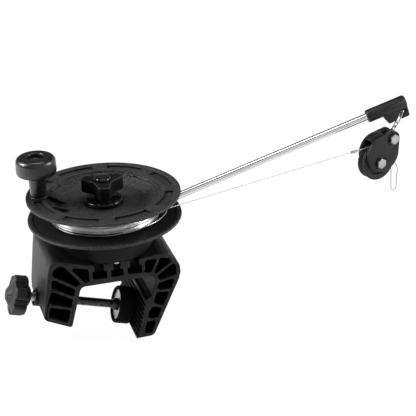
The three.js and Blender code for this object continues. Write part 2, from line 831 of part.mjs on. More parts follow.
// Hand knob: wide lobes with serrated valleys between them, a collar and a conical face
const knobRadius = knobDiameter / 2;
const knobPoints = Array.from({ length: knobLobes * knobPointsPerLobe }, (_, at) => {
  const share = (at % knobPointsPerLobe) / knobPointsPerLobe;
  const inValley = Math.max(0, 1 - Math.abs(share - 0.5) / (knobValleyShare / 2));
  const dip = knobValleyDepth * Math.min(1, inValley * 2);
  const teeth = inValley > 0 ? knobSerrationDepth * (at % 2) : 0;
  const angle = (2 * Math.PI * at) / (knobLobes * knobPointsPerLobe);
  const radius = knobRadius - dip - teeth;
  return new THREE.Vector2(radius * Math.cos(angle), radius * Math.sin(angle));
});
const rimFace = collarFace - knobCollarLength;
const rimBack = rimFace - knobThickness;
const knobTip = rimBack - knobConeHeight;
const knobProfile = turned(
  [
    [0, knobTip],
    [knobConeTipDiameter / 2, knobTip],
    [knobCollarDiameter / 2, rimBack - knobConeHeight / 2],
    [knobRadius - knobEdgeRadius, rimBack],
    [knobRadius + knobEdgeRadius, rimBack + knobEdgeRadius * 2],
    [knobRadius + knobEdgeRadius, rimFace - knobEdgeRadius * 2],
    [knobRadius - knobEdgeRadius, rimFace],
    [knobCollarDiameter / 2, rimFace],
    [knobCollarDiameter / 2, rimFace + knobCollarLength / 2],
    [knobCollarNeckDiameter / 2, collarFace],
    [0, collarFace],
  ],
  24,
);
const knobBody = solid(carriedUp(knobPoints, knobTip - cutOverrun, collarFace + cutOverrun))
  .intersect(solid(knobProfile));
const knobBore = rod(screwBore, screwHead - seatGap, collarFace + cutOverrun);
piece(
  clampFrame,
  'clamp_knob',
  alongX(geometryOf(without(knobBody, knobBore))),
  'blackMoulding',
);

// Base: a drum with feet that slide on the rails, and the boom's socket along its back
const drumRadius = drumDiameter / 2;
const drumTopRadius = drumTopDiameter / 2;
const drumFloorTop = drumBottom + drumFloor;
const drumBossRadius = drumBossDiameter / 2;
const drumShell = turned(
  [
    [bushingInner, drumBottom],
    [drumRadius, drumBottom],
    [drumTopRadius, drumTop],
    [drumTopRadius - drumWall, drumTop],
    [drumRadius - drumWall, drumFloorTop, drumWall],
    [drumBossRadius, drumFloorTop, drumWall / 2],
    [drumBossRadius, drumBossTop],
    [bushingInner, drumBossTop],
  ],
  48,
);
const drumRibs = Array.from({ length: drumRibCount }, (_, rib) =>
  block(
    [drumBossRadius - drumRibThickness, -drumRibThickness / 2, drumBottom + drumFloor / 2],
    [drumTopRadius - drumWall / 2, drumRibThickness / 2, drumBossTop - drumWall],
  ).rotateZ((2 * Math.PI * (rib + 0.5)) / drumRibCount),
);
const footFront = frontY + footSetback;
const footBack = backY - footBackShort;
const railHeadBottom = deckHeight - railHeadHeight;
const flangeFootTop = railHeadBottom - seatGap;
const flangeFootBottom = flangeFootTop - footFlangeHeight;
const stemOutside = railSpacing / 2 + railStemWidth / 2 + slideGap;
const stemInside = railSpacing / 2 - railStemWidth / 2 - slideGap;
const neckMiddle = (stemOutside + halfSlot - slideGap) / 2;
const footSpans = [
  { neck: 0, from: -stemInside, to: stemInside },
  { neck: neckMiddle, from: stemOutside, to: halfSlot - slideGap },
  { neck: -neckMiddle, from: slideGap - halfSlot, to: -stemOutside },
];
const feet = footSpans.flatMap(({ neck, from, to }) => [
  block(
    [neck - footNeckWidth / 2, footFront, flangeFootTop - footFlangeHeight / 2],
    [neck + footNeckWidth / 2, footBack, drumFloorTop - drumFloor / 2],
  ),
  block([from, footFront, flangeFootBottom], [to, footBack, flangeFootTop]),
]);
const boomFrame = new THREE.Group();
boomFrame.position.set(boomRootX, boomOffset, boomRootHeight);
boomFrame.rotation.y = -boomRise;
boomFrame.updateMatrix();
group.add(boomFrame);
const inBoomFrame = (geometry) => geometry.applyMatrix4(boomFrame.matrix);
const boomRadius = boomDiameter / 2;
const boomBore = boomRadius + seatGap;
const socketScrewRadius = socketScrewDiameter / 2;
const socketRadius = socketDiameter / 2;
const socket = solid(inBoomFrame(alongX(rod(socketRadius, -boomInset, socketLength, 24))))
  .intersect(solid(block([0, 0, drumBottom], [flangeRadius, flangeRadius, spoolBottom])));
const headPocketTop = drumBottom + spindleHeadSink + spindleHeadHeight + seatGap;
const baseCuts = [
  rod(bushingInner, flangeFootBottom, drumBossTop + cutOverrun, 24),
  hexagon(spindleHeadFlats + seatGap * 2, flangeFootBottom - cutOverrun, headPocketTop),
  inBoomFrame(alongX(rod(boomBore, boomInset - seatGap, socketLength + cutOverrun))),
  inBoomFrame(
    rod(socketScrewRadius + seatGap, 0, socketRadius + cutOverrun, 16).translate(socketScrewAlong, 0, 0),
  ),
];
piece(
  group,
  'base_housing',
  without(joined(drumShell, ...drumRibs, ...feet, socket), ...baseCuts),
  'blackMoulding',
);

// Spring catch that shows between the rails
const latchTop = drumBottom - seatGap;
piece(
  group,
  'latch_spring',
  block(
    [-latchWidth / 2, frontY, latchTop - latchThickness],
    [latchWidth / 2, frontY + latchLength, latchTop],
  ),
  'brightSteel',
);

// Spindle with its head under the drum, and the brake disc between the drum and the spool
const headBottom = drumBottom + spindleHeadSink;
piece(
  group,
  'spindle',
  joined(
    hexagon(spindleHeadFlats, headBottom, headBottom + spindleHeadHeight),
    rod(spindleRadius, headBottom + spindleHeadHeight / 2, spindleTop, 24),
  ),
  'brightSteel',
);
piece(
  group,
  'brake_disc',
  ring(bushingInner, brakeDiscDiameter / 2, brakeDiscBottom, brakeDiscBottom + brakeDiscThickness, 32),
  'brakeLining',
);

// Spool: the lower half carries the barrel, the upper half the bowl and the crank's platform
const hubRadius = spoolHubDiameter / 2;
const rimTop = lowerFlangeTop + flangeRimHeight;
const hubJoint = spoolBottom + lowerHubHeight;
const bowlMouth = barrelRadius + bowlMouthSpread;
const bowlFoot = barrelRadius - bowlFloorInset;
const bowlSlope = bowlDepth / (bowlMouth - bowlFoot);
const bowlUnderDrop = bowlWall * Math.hypot(1, bowlSlope);
const underFloor = bowlFloor - bowlWall;
const bowlUnderAt = (radius) => bowlFloor + (radius - bowlFoot) * bowlSlope - bowlUnderDrop;
const radiusUnderBowl = (height) => bowlFoot + (height + bowlUnderDrop - bowlFloor) / bowlSlope;
const barrelTop = bowlUnderAt(barrelRadius - barrelWall) - seatGap;
piece(
  group,
  'spool_lower',
  turned(
    [
      [spoolBore, spoolBottom],
      [flangeRadius, spoolBottom, flangeEdgeRadius],
      [flangeRadius, rimTop, flangeEdgeRadius],
      [flangeRadius - flangeRimWidth, rimTop],
      [flangeRadius - flangeRimWidth - flangeRimHeight, lowerFlangeTop],
      [barrelRadius, lowerFlangeTop],
      [barrelRadius, barrelTop],
      [barrelRadius - barrelWall, barrelTop],
      [barrelRadius - barrelWall, lowerFlangeTop, barrelWall / 2],
      [hubRadius, lowerFlangeTop],
      [hubRadius, hubJoint],
      [spoolBore, hubJoint],
    ],
    48,
  ),
  'greyMoulding',
);

const crankX = crankRadius * Math.cos(crankAngle);
const crankY = crankRadius * Math.sin(crankAngle);
const upperRimTop = spoolTop + flangeRimHeight;
const upperShell = turned(
  [
    [spoolBore, hubJoint + seatGap],
    [hubRadius, hubJoint + seatGap],
    [hubRadius, underFloor],
    [radiusUnderBowl(underFloor), underFloor],
    [radiusUnderBowl(upperFlangeBottom), upperFlangeBottom],
    [flangeRadius, upperFlangeBottom, flangeEdgeRadius],
    [flangeRadius, upperRimTop, flangeEdgeRadius],
    [flangeRadius - flangeRimWidth, upperRimTop],
    [flangeRadius - flangeRimWidth - flangeRimHeight, spoolTop],
    [bowlMouth, spoolTop, bowlEdgeRadius],
    [bowlFoot, bowlFloor, bowlFootRadius],
    [spoolBore, bowlFloor],
  ],
  48,
);

// One shallow recess in the upper flange, between two bridges
function recessOutline(centreAngle) {
  const half = Math.PI / recessCount - THREE.MathUtils.degToRad(recessBridgeDegrees) / 2;
  const arc = (share, direction) =>
    Array.from({ length: recessArcSteps + 1 }, (_, step) => {
      const angle = centreAngle + direction * half * ((2 * step) / recessArcSteps - 1);
      const radius = THREE.MathUtils.lerp(bowlMouth, flangeRadius, share);
      return new THREE.Vector2(radius * Math.cos(angle), radius * Math.sin(angle));
    });
  return [...arc(recessOuterShare, 1), ...arc(recessInnerShare, -1)];
}
const recesses = Array.from({ length: recessCount }, (_, index) => {
  const angle = crankAngle + (2 * Math.PI * (index + 0.5)) / recessCount;
  return carriedUp(recessOutline(angle), spoolTop - recessDepth, upperRimTop + cutOverrun);
});
const platformRadius = crankPlatformDiameter / 2;
const platform = rod(platformRadius, upperFlangeBottom + flangeThickness / 2, spoolTop, 24)
  .translate(crankX, crankY, 0);
const rimNotch = rod(platformRadius, spoolTop, upperRimTop + cutOverrun, 24).translate(crankX, crankY, 0);
const gussets = gussetAnglesDegrees.map((degrees) => {
  const sink = bowlWall / 2;
  const foot = bowlFoot - gussetInset;
  const outline = [
    new THREE.Vector2(foot, bowlFloor - sink),
    new THREE.Vector2(foot, bowlFloor),
    new THREE.Vector2(bowlMouth - gussetRootInset, spoolTop - recessDepth),
    new THREE.Vector2(bowlMouth, spoolTop - recessDepth),
    new THREE.Vector2(bowlFoot + sink, bowlFloor - sink),
  ];
  const plate = carriedAlongY(outline, -gussetThickness / 2, gussetThickness / 2);
  return plate.rotateZ(THREE.MathUtils.degToRad(degrees));
});
const flangeDisc = solid(rod(flangeRadius - flangeEdgeRadius / 2, spoolBottom, upperRimTop, 48));
const cutUpper = without(upperShell, ...recesses, rimNotch);
piece(
  group,
  'spool_upper',
  joined(cutUpper, solid(platform).intersect(flangeDisc), ...gussets),
  'greyMoulding',
);
piece(
  group,
  'spool_bushing',
  ring(bushingInner, bushingOuter, spoolBottom, bowlFloor - seatGap),
  'acetal',
);

// Cable on the barrel: a plain core, and an outer layer of separate turns
const windingInside = windingRadius * Math.cos(Math.PI / windingStepsPerLoop) - windingWire / 2;
const coreRadius = windingInside - seatGap;
const coreInner = barrelRadius + seatGap;
const coreTop = (radius) => bowlUnderAt(radius) - coreHeadroom;
piece(
  group,
  'cable_core',
  turned(
    [
      [coreInner, lowerFlangeTop + seatGap],
      [coreRadius, lowerFlangeTop + seatGap],
      [coreRadius, coreTop(coreRadius)],
      [coreInner, coreTop(coreInner)],
    ],
    48,
  ),
  'darkSteel',
);

const windingStraight = windingWire;
const windingStart = lowerFlangeTop + seatGap + windingStraight;
const windingEnd = upperFlangeBottom - seatGap - windingStraight;
const helixBottom = windingStart + windingBendRadius;
const helixTop = windingEnd - windingBendRadius;
const onWinding = (angle, radius, height) =>
  new THREE.Vector3(radius * Math.cos(angle), radius * Math.sin(angle), height);
const windingTurns = Array.from({ length: windingLoops * windingStepsPerLoop + 1 }, (_, step) => {
  const share = step / (windingLoops * windingStepsPerLoop);
  const stepsLeft = windingLoops * windingStepsPerLoop - step;
  const outward = windingTopShift * Math.max(0, 1 - (stepsLeft * 4) / windingStepsPerLoop);
  const angle = share * windingLoops * 2 * Math.PI;
  const height = THREE.MathUtils.lerp(helixBottom, helixTop, share);
  return onWinding(angle, windingRadius + outward, height);
});
const bendAngle = windingBendRadius / windingRadius;
const halfBend = 1 - Math.SQRT1_2;
const topRadius = windingRadius + windingTopShift;
const windingPoints = [
  onWinding(-bendAngle, windingRadius, windingStart - windingStraight),
  onWinding(-bendAngle, windingRadius, windingStart - windingStraight / 2),
  onWinding(-bendAngle, windingRadius, windingStart),
  onWinding(-bendAngle * Math.SQRT1_2, windingRadius, helixBottom - windingBendRadius * halfBend),
  ...windingTurns,
  onWinding(bendAngle * Math.SQRT1_2, topRadius, helixTop + windingBendRadius * halfBend),
  onWinding(bendAngle, topRadius, windingEnd),
  onWinding(bendAngle, topRadius, windingEnd + windingStraight / 2),
  onWinding(bendAngle, topRadius, windingEnd + windingStraight),
];
piece(group, 'cable_winding', wireThrough(windingPoints, windingWire / 2, 6), 'brightSteel');

// The turns' least distance from each other, on the wire's centre points
const windingGaps = windingPoints.flatMap((point, at) =>
  windingPoints.slice(at + windingStepsPerLoop / 2).map((other) => point.distanceTo(other) - windingWire),
);
console.log(`least gap of the winding to itself: ${Math.min(...windingGaps).toFixed(2)}`);

// Crank: a post with a collar on the platform, a knob that spins on it and the screw that keeps it there
const crankFrame = new THREE.Group();
crankFrame.position.set(crankX, crankY, 0);
group.add(crankFrame);
const postRadius = crankPostDiameter / 2;
const postBottom = spoolTop + seatGap;
const collarTop = postBottom + crankCollarHeight;
const recessFloor = crankTop - crankRecessDepth;
const postTop = recessFloor - crankPostTopSink;
const crankScrewRadius = crankScrewDiameter / 2;
piece(
  crankFrame,
  'crank_post',
  without(
    joined(
      rod(crankCollarDiameter / 2, postBottom, collarTop, 28),
      rod(postRadius, postBottom, postTop),
    ),
    rod(crankScrewRadius + seatGap, postTop - crankScrewLength - seatGap, postTop + cutOverrun, 16),
  ),
  'blackMoulding',
);
const crankFoot = collarTop + seatGap;
const crankHeadBottom = crankTop - crankHeadHeight;
const headRadius = crankHeadDiameter / 2;
const knobBoreRadius = postRadius + seatGap;
piece(
  crankFrame,
  'crank_knob',
  turned(
    [
      [knobBoreRadius, crankFoot],
      [crankStemFootDiameter / 2, crankFoot, crankRecessEdgeRadius / 2],
      [crankStemDiameter / 2, crankHeadBottom, crankRecessEdgeRadius],
      [headRadius - crankHeadDraft, crankHeadBottom, crankHeadFootRadius],
      [headRadius, crankHeadBottom + crankHeadFootRadius * 2, crankHeadFootRadius],
      [headRadius - crankHeadDraft, crankTop, crankHeadTopRadius],
      [crankRecessDiameter / 2, crankTop, crankRecessEdgeRadius],
      [crankRecessDiameter / 2, recessFloor],
      [knobBoreRadius, recessFloor],
    ],
    28,
  ),
  'blackMoulding',
);
const screwSeat = recessFloor + seatGap;
piece(
  crankFrame,
  'crank_screw',
  without(
    joined(
      turned([
        [0, screwSeat],
        [crankScrewHeadDiameter / 2, screwSeat],
        [crankScrewHeadDiameter / 2, screwSeat + crankScrewHeadHeight, crankScrewHeadHeight / 2],
        [0, screwSeat + crankScrewHeadHeight],
      ]),
      rod(crankScrewRadius, postTop - crankScrewLength, screwSeat + crankScrewHeadHeight / 2, 16),
    ),
    hexagon(
      screwSocketFlats,
      screwSeat + crankScrewHeadHeight - screwSocketDepth,
      screwSeat + crankScrewHeadHeight + cutOverrun,
    ),
  ),
  'darkSteel',
);

// Clutch: a glossy disc on the bowl's floor, a three-lobed knob and its domed cap
const discBottom = bowlFloor + seatGap;
const discTop = discBottom + clutchDiscThickness;
const clutchBore = spindleRadius + seatGap;
piece(
  group,
  'clutch_disc',
  turned(
    [
      [clutchBore, discBottom],
      [clutchDiscDiameter / 2, discBottom, clutchDiscEdgeRadius],
      [clutchDiscDiameter / 2, discTop, clutchDiscEdgeRadius],
      [clutchBore, discTop],
    ],
    36,
  ),
  'glossBlack',
);
const clutchFoot = discTop + seatGap;
const lobeBottom = clutchFoot + clutchHubHeight;
const lobeTop = lobeBottom + clutchHeadHeight;
const lobeCorners = Array.from({ length: clutchLobes }, (_, lobe) => {
  const angle = THREE.MathUtils.degToRad(clutchLobeAngleDegrees) + (2 * Math.PI * lobe) / clutchLobes;
  const at = (reach, aside, turnBy, radius) => {
    const point = new THREE.Vector2(reach, aside).rotateAround(new THREE.Vector2(), angle + turnBy);
    return [point.x, point.y, radius];
  };
  return [
    at(clutchLobeReach, -clutchLobeWidth / 2, 0, clutchLobeEdgeRadius),
    at(clutchLobeReach, clutchLobeWidth / 2, 0, clutchLobeEdgeRadius),
    at(clutchWaist, 0, Math.PI / clutchLobes, clutchFlankRadius),
  ];
}).flat();
piece(
  group,
  'clutch_knob',
  without(
    joined(
      rod(clutchHubDiameter / 2, clutchFoot, lobeBottom + clutchHubHeight, 24),
      carriedUp(roundedPoints(lobeCorners), lobeBottom, lobeTop),
    ),
    rod(clutchBore, clutchFoot - cutOverrun, lobeTop + cutOverrun, 20),
  ),
  'blackMoulding',
);
piece(
  group,
  'clutch_cap',
  turned(
    [
      [0, lobeTop + seatGap],
      [capDiameter / 2, lobeTop + seatGap],
      [capDiameter / 2, lobeTop + seatGap + capHeight, capEdgeRadius],
      [0, lobeTop + seatGap + capHeight],
    ],
    24,
    3,
  ),
  'glossBlack',
);

// Boom: a polished rod in the base's socket, held by a set screw, with the moulded tip on its end
piece(boomFrame, 'boom_rod', alongX(rod(boomRadius, boomInset, boomInset + boomLength)), 'brightSteel');
piece(
  boomFrame,
  'boom_set_screw',
  without(
    rod(socketScrewRadius, boomRadius + seatGap, boomRadius + seatGap + socketScrewLength, 16),
    hexagon(
      socketScrewRadius,
      boomRadius + socketScrewLength - screwSocketDepth,
      boomRadius + socketScrewLength + cutOverrun,
    ),
  ).translate([socketScrewAlong, 0, 0]),
  'darkSteel',
);

const tipRadius = tipDiameter / 2;
const tipEnd = tipStart + tipLength;
const lugStart = tipStart + tipLugStart;
const slotSlant = THREE.MathUtils.degToRad(tipSlotSlantDegrees);
const slotCeiling = -tipRadius - tipSlotRoof;
const slotFloor = -tipLugDrop - cutOverrun;
const pinX = tipStart + tipPinAlong;
const slotXAt = (height) => pinX + (height + tipPinDrop) * Math.tan(slotSlant);
const tipShell = alongX(
  turned([
    [0, tipStart],
    [tipRadius, tipStart, tipEndRadius / 2],
    [tipRadius, tipEnd, tipEndRadius],
    [0, tipEnd],
  ]),
);
const lugPoints = roundedPoints([
  [lugStart, 0],
  [lugStart, -tipRadius],
  [lugStart + tipLugSlope, -tipLugDrop, tipLugRadius],
  [tipEnd, -tipLugDrop, tipLugRadius],
  [tipEnd, 0],
]);
const tipSlotPoints = [
  new THREE.Vector2(slotXAt(slotFloor) - tipSlotWidth / 2, slotFloor),
  new THREE.Vector2(slotXAt(slotFloor) + tipSlotWidth / 2, slotFloor),
  new THREE.Vector2(slotXAt(slotCeiling) + tipSlotWidth / 2, slotCeiling),
  new THREE.Vector2(slotXAt(slotCeiling) - tipSlotWidth / 2, slotCeiling),
];
const tipPinRadius = tipPinDiameter / 2;
piece(
  boomFrame,
  'boom_tip',
  without(
    joined(tipShell, carriedAlongY(lugPoints, -tipLugWidth / 2, tipLugWidth / 2)),
    alongX(rod(boomBore, tipStart - cutOverrun, boomInset + boomLength + seatGap)),
    carriedAlongY(tipSlotPoints, -tipLugWidth, tipLugWidth),
    block(
      [tipStart - cutOverrun, -tipSlitWidth / 2, 0],
      [tipStart + tipSlitLength, tipSlitWidth / 2, tipRadius + cutOverrun],
    ),
    alongX(
      rod(tipPinRadius + seatGap, pinX - tipPinLength / 2 - seatGap, pinX + tipPinLength / 2 + seatGap, 16),
    ).translate(0, 0, -tipPinDrop),
  ),
  'blackMoulding',
);
piece(
  boomFrame,
  'tip_pin',
  alongX(rod(tipPinRadius, pinX - tipPinLength / 2, pinX + tipPinLength / 2, 16))
    .translate(0, 0, -tipPinDrop),
  'brightSteel',
);

// Pulley block. Its frame lies in the upright plane in which the cable runs off the winding to the tip:
// the origin is the middle of the sheave's axle, X runs outward and the front is at -Y.
const pinPoint = new THREE.Vector3(pinX, 0, -tipPinDrop).applyMatrix4(boomFrame.matrix);
const pinReach = Math.hypot(pinPoint.x, pinPoint.y);
const cableHeading = Math.atan2(pinPoint.y, pinPoint.x) + Math.asin(cableReach / pinReach);
const axleReach = pinReach * Math.cos(Math.asin(cableReach / pinReach)) - pulleySetback;
const axleHeight = pinPoint.z - pulleyDrop;
const pulleyFrame = new THREE.Group();
pulleyFrame.rotation.z = cableHeading;
pulleyFrame.position.set(
  axleReach * Math.cos(cableHeading) + cableReach * Math.sin(cableHeading),
  axleReach * Math.sin(cableHeading) - cableReach * Math.cos(cableHeading),
  axleHeight,
);
pulleyFrame.updateMatrix();
group.add(pulleyFrame);

// Outline round a large disc and the small ear beside it, with straight sides between them
function discWithEar([discX, discZ, discRadius], [earX, earZ, earRadius], steps = 24) {
  const direction = Math.atan2(earZ - discZ, earX - discX);
  const open = Math.acos((discRadius - earRadius) / Math.hypot(earX - discX, earZ - discZ));
  const arc = (x, z, radius, from, to, count) =>
    Array.from({ length: count + 1 }, (_, step) => {
      const angle = from + ((to - from) * step) / count;
      return new THREE.Vector2(x + radius * Math.cos(angle), z + radius * Math.sin(angle));
    });
  return [
    ...arc(discX, discZ, discRadius, direction + open, direction + 2 * Math.PI - open, steps),
    ...arc(earX, earZ, earRadius, direction - open, direction + open, steps / 3),
  ];
}

const halfSpan = cheekSpan / 2;
const cheekOuter = halfSpan + cheekThickness;
const cheekRadius = cheekDiameter / 2;
const boltRadius = boltDiameter / 2;
const boltHole = boltRadius + seatGap;
const boltPlaces = [
  [0, 0],
  [hangerOut, hangerUp],
];
const cheekOutline = discWithEar(
  [cheekOut, cheekUp, cheekRadius],
  [hangerOut, hangerUp, cheekEarDiameter / 2],
  cheekArcSteps,
);
const bridgeSteps = 6;
const bridgeArc = (radius, from, to) =>
  Array.from({ length: bridgeSteps + 1 }, (_, step) => {
    const angle = THREE.MathUtils.degToRad(from + ((to - from) * step) / bridgeSteps);
    return new THREE.Vector2(cheekOut + radius * Math.cos(angle), cheekUp + radius * Math.sin(angle));
  });
const bridgeOutline = [
  ...bridgeArc(cheekRadius - seatGap / 2, bridgeStartDegrees, bridgeEndDegrees),
  ...bridgeArc(cheekRadius - bridgeThickness, bridgeEndDegrees, bridgeStartDegrees),
];

// One cheek: side -1 is the front, +1 the rear
function cheek(side) {
  const span = (from, to) => [Math.min(side * from, side * to), Math.max(side * from, side * to)];
  const plate = carriedAlongY(cheekOutline, ...span(halfSpan, cheekOuter));
  const wall = carriedAlongY(bridgeOutline, ...span(seatGap / 2, halfSpan + cheekThickness / 2));
  const recessSpan = span(cheekOuter - boltRecessDepth, cheekOuter + cutOverrun);
  const holes = boltPlaces.flatMap(([x, z]) => [
    alongY(rod(boltHole, ...span(0, cheekOuter + cutOverrun))).translate(x, 0, z),
    alongY(rod(boltRecessDiameter / 2, ...recessSpan, boltRecessSides)).translate(x, 0, z),
  ]);
  return without(joined(plate, wall), ...holes);
}
piece(pulleyFrame, 'pulley_cheek_front', cheek(-1), 'blackMoulding');
piece(pulleyFrame, 'pulley_cheek_rear', cheek(1), 'blackMoulding');

// Sheave on its sleeve
const sleeveInner = boltHole;
const sleeveOuter = sleeveInner + sleeveWall;
const sheaveBore = sleeveOuter + seatGap;
const sheaveRadius = sheaveDiameter / 2;
const halfSheave = sheaveWidth / 2;
const grooveRadius = sheaveGroove / 2;
const pocketFace = halfSheave - sheavePocketDepth;
piece(
  pulleyFrame,
  'sheave',
  alongY(
    turned(
      [
        [sheaveBore, -halfSheave],
        [sheavePocketInner / 2, -halfSheave],
        [sheavePocketInner / 2, -pocketFace],
        [sheavePocketOuter / 2, -pocketFace],
        [sheavePocketOuter / 2, -halfSheave],
        [sheaveRadius, -halfSheave],
        [sheaveRadius, sheaveRimWidth - halfSheave],
        [grooveRadius, -sheaveGrooveWidth / 2],
        [grooveRadius, sheaveGrooveWidth / 2],
        [sheaveRadius, halfSheave - sheaveRimWidth],
        [sheaveRadius, halfSheave],
        [sheavePocketOuter / 2, halfSheave],
        [sheavePocketOuter / 2, pocketFace],
        [sheavePocketInner / 2, pocketFace],
        [sheavePocketInner / 2, halfSheave],
        [sheaveBore, halfSheave],
      ],
      32,
    ),
  ),
  'blackMoulding',
);
const sleeveHalf = halfSpan - seatGap;
piece(
  pulleyFrame,
  'sheave_sleeve',
  alongY(ring(sleeveInner, sleeveOuter, -sleeveHalf, sleeveHalf, 20)),
  'brass',
);

// Bolts through both cheeks, with their nuts at the rear
const headSeat = cheekOuter - boltRecessDepth + seatGap;
const boltNames = [
  ['sheave_bolt', 'sheave_nut'],
  ['hanger_bolt', 'hanger_nut'],
];
boltPlaces.forEach(([x, z], index) => {
  const bolt = joined(
    hexagon(boltHeadFlats, -headSeat - boltHeadHeight, -headSeat),
    rod(boltRadius, -headSeat - boltHeadHeight / 2, headSeat + nutHeight + boltEnd, 16),
  );
  const nut = without(
    hexagon(boltHeadFlats, headSeat, headSeat + nutHeight),
    rod(boltHole, headSeat - cutOverrun, headSeat + nutHeight + cutOverrun, 16),
  );
  piece(pulleyFrame, boltNames[index][0], alongY(geometryOf(bolt)).translate(x, 0, z), 'brightSteel');
  piece(pulleyFrame, boltNames[index][1], alongY(geometryOf(nut)).translate(x, 0, z), 'brightSteel');
});
const hangerSleeveRadius = swivelBore / 2 - seatGap;
piece(
  pulleyFrame,
  'hanger_sleeve',
  alongY(ring(boltHole, hangerSleeveRadius, -sleeveHalf, sleeveHalf, 20)).translate(hangerOut, 0, hangerUp),
  'brass',
);

// Links from the tip pin to the hanger bolt: an oval link, a second one square to it, and a swivel
const linkLean = THREE.MathUtils.degToRad(linkLeanDegrees);
const crossing = new THREE.Vector2(
  pulleySetback - tipLinkReach * Math.sin(linkLean),
  pulleyDrop - tipLinkReach * Math.cos(linkLean),
);
const hangerLine = new THREE.Vector2(crossing.x - hangerOut, crossing.y - hangerUp);
const hangerLean = Math.atan2(hangerLine.x, hangerLine.y);
const linkRadius = linkWire / 2;
const crossingOffset = (linkWire + linkPlay) / 2;
const tipLinkFrame = new THREE.Group();
tipLinkFrame.position.set(pulleySetback, 0, pulleyDrop);
tipLinkFrame.rotation.y = linkLean;
pulleyFrame.add(tipLinkFrame);
const tipLinkTop = (tipPinRadius + linkPlay + linkRadius) / Math.cos(linkLean + boomRise);
piece(
  tipLinkFrame,
  'tip_link',
  ovalLink(tipLinkTop, -tipLinkReach - crossingOffset, tipLinkWidth, linkWire).rotateZ(Math.PI / 2),
  'brightSteel',
);

const chainFrame = new THREE.Group();
chainFrame.position.set(crossing.x, 0, crossing.y);
chainFrame.rotation.y = hangerLean;
pulleyFrame.add(chainFrame);
piece(
  chainFrame,
  'chain_link',
  ovalLink(crossingOffset, -chainLinkReach, chainLinkWidth, linkWire),
  'brightSteel',
);
const swivelTop = -chainLinkReach + linkRadius + linkPlay + swivelWire / 2;
const swivelLoopBottom = swivelTop - swivelLoopLength;
const barrelUpper = swivelLoopBottom + swivelWire / 2;
const barrelLower = barrelUpper - swivelBarrelLength;
const eyeCentre = -hangerLine.length();
const neckBottom = eyeCentre + swivelEyeDiameter / 2 - swivelWire / 2;
const swivelParts = [
  ovalLink(swivelTop, swivelLoopBottom, swivelLoopWidth, swivelWire).rotateZ(Math.PI / 2),
  turned(
    [
      [0, barrelLower],
      [swivelBarrelDiameter / 2, barrelLower, swivelWire / 2],
      [swivelBarrelDiameter / 2, barrelUpper, swivelWire / 2],
      [0, barrelUpper],
    ],
    16,
  ),
  rod(swivelNeckDiameter / 2, neckBottom, barrelLower + swivelWire / 2, 16),
  alongY(ring(swivelBore / 2, swivelEyeDiameter / 2, -swivelEyeThickness / 2, swivelEyeThickness / 2, 20))
    .translate(0, 0, eyeCentre),
];
piece(chainFrame, 'swivel', joined(...swivelParts), 'darkSteel');

// Cable from the winding to its crimped sleeve, and the loop that runs on over the sheave
const strandRadius = cableDiameter / 2;
const runRadius = grooveRadius + seatGap + strandRadius;
const leaveX = -axleReach;
const leaveZ = spoolMiddle + cableHeight - axleHeight;
const runReach = Math.hypot(leaveX, leaveZ);
const runRise = Math.atan2(-leaveZ, -leaveX) + Math.asin(runRadius / runReach);
const touchX = -runRadius * Math.sin(runRise);
const touchZ = runRadius * Math.cos(runRise);
const onRun = (x, y = 0) => new THREE.Vector3(x, y, touchZ + (x - touchX) * Math.tan(runRise));
const crimpStart = -crimpSetback - crimpLength / 2;
const crimpEnd = crimpStart + crimpLength;
const spanPoints = [onRun(leaveX), onRun((leaveX + crimpStart) / 2), onRun(crimpStart - seatGap)];
piece(pulleyFrame, 'cable_span', wireThrough(spanPoints, strandRadius), 'brightSteel');
const crimp = rod(crimpDiameter / 2, -crimpLength / 2, crimpLength / 2, 20);
crimp.rotateY(Math.PI / 2 - runRise).translate(-crimpSetback, 0, onRun(-crimpSetback).z);
piece(pulleyFrame, 'crimp_sleeve', crimp, 'darkSteel');

const loopLeave = THREE.MathUtils.degToRad(loopLeaveDegrees);
const overSheaveSteps = 8;
const overSheave = (y) =>
  Array.from({ length: overSheaveSteps + 1 }, (_, step) => {
    const angle = THREE.MathUtils.lerp(Math.PI / 2 + runRise, loopLeave, step / overSheaveSteps);
    return new THREE.Vector3(runRadius * Math.cos(angle), y, runRadius * Math.sin(angle));
  });
const halfStrands = strandSpacing / 2;
const loopStart = crimpEnd + seatGap;
const loopBend = (loopFarX - loopNearX) / 2;
const loopMiddle = (loopFarX + loopNearX) / 2;
const loopBendSteps = 8;
const loopBottom = Array.from({ length: loopBendSteps + 1 }, (_, step) => {
  const angle = Math.PI + (Math.PI * step) / loopBendSteps;
  const drop = (loopBottomDrop - loopWaistDrop) * Math.sin(angle);
  return new THREE.Vector3(loopMiddle + loopBend * Math.cos(angle), 0, drop - loopWaistDrop);
});
const loopPoints = [
  onRun(loopStart, halfStrands),
  onRun((loopStart + touchX) / 2, halfStrands),
  ...overSheave(halfStrands),
  new THREE.Vector3(loopNearX, halfStrands, -loopShoulderDrop),
  ...loopBottom,
  new THREE.Vector3(loopFarX, -halfStrands, -loopShoulderDrop),
  ...overSheave(-halfStrands).reverse(),
  onRun((loopStart + touchX) / 2, -halfStrands),
  onRun(loopStart, -halfStrands),
];
piece(pulleyFrame, 'cable_loop', wireThrough(loopPoints, strandRadius), 'brightSteel');

export default group;
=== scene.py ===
import math

import bmesh
import bpy
import numpy as np
from mathutils import Matrix, Vector


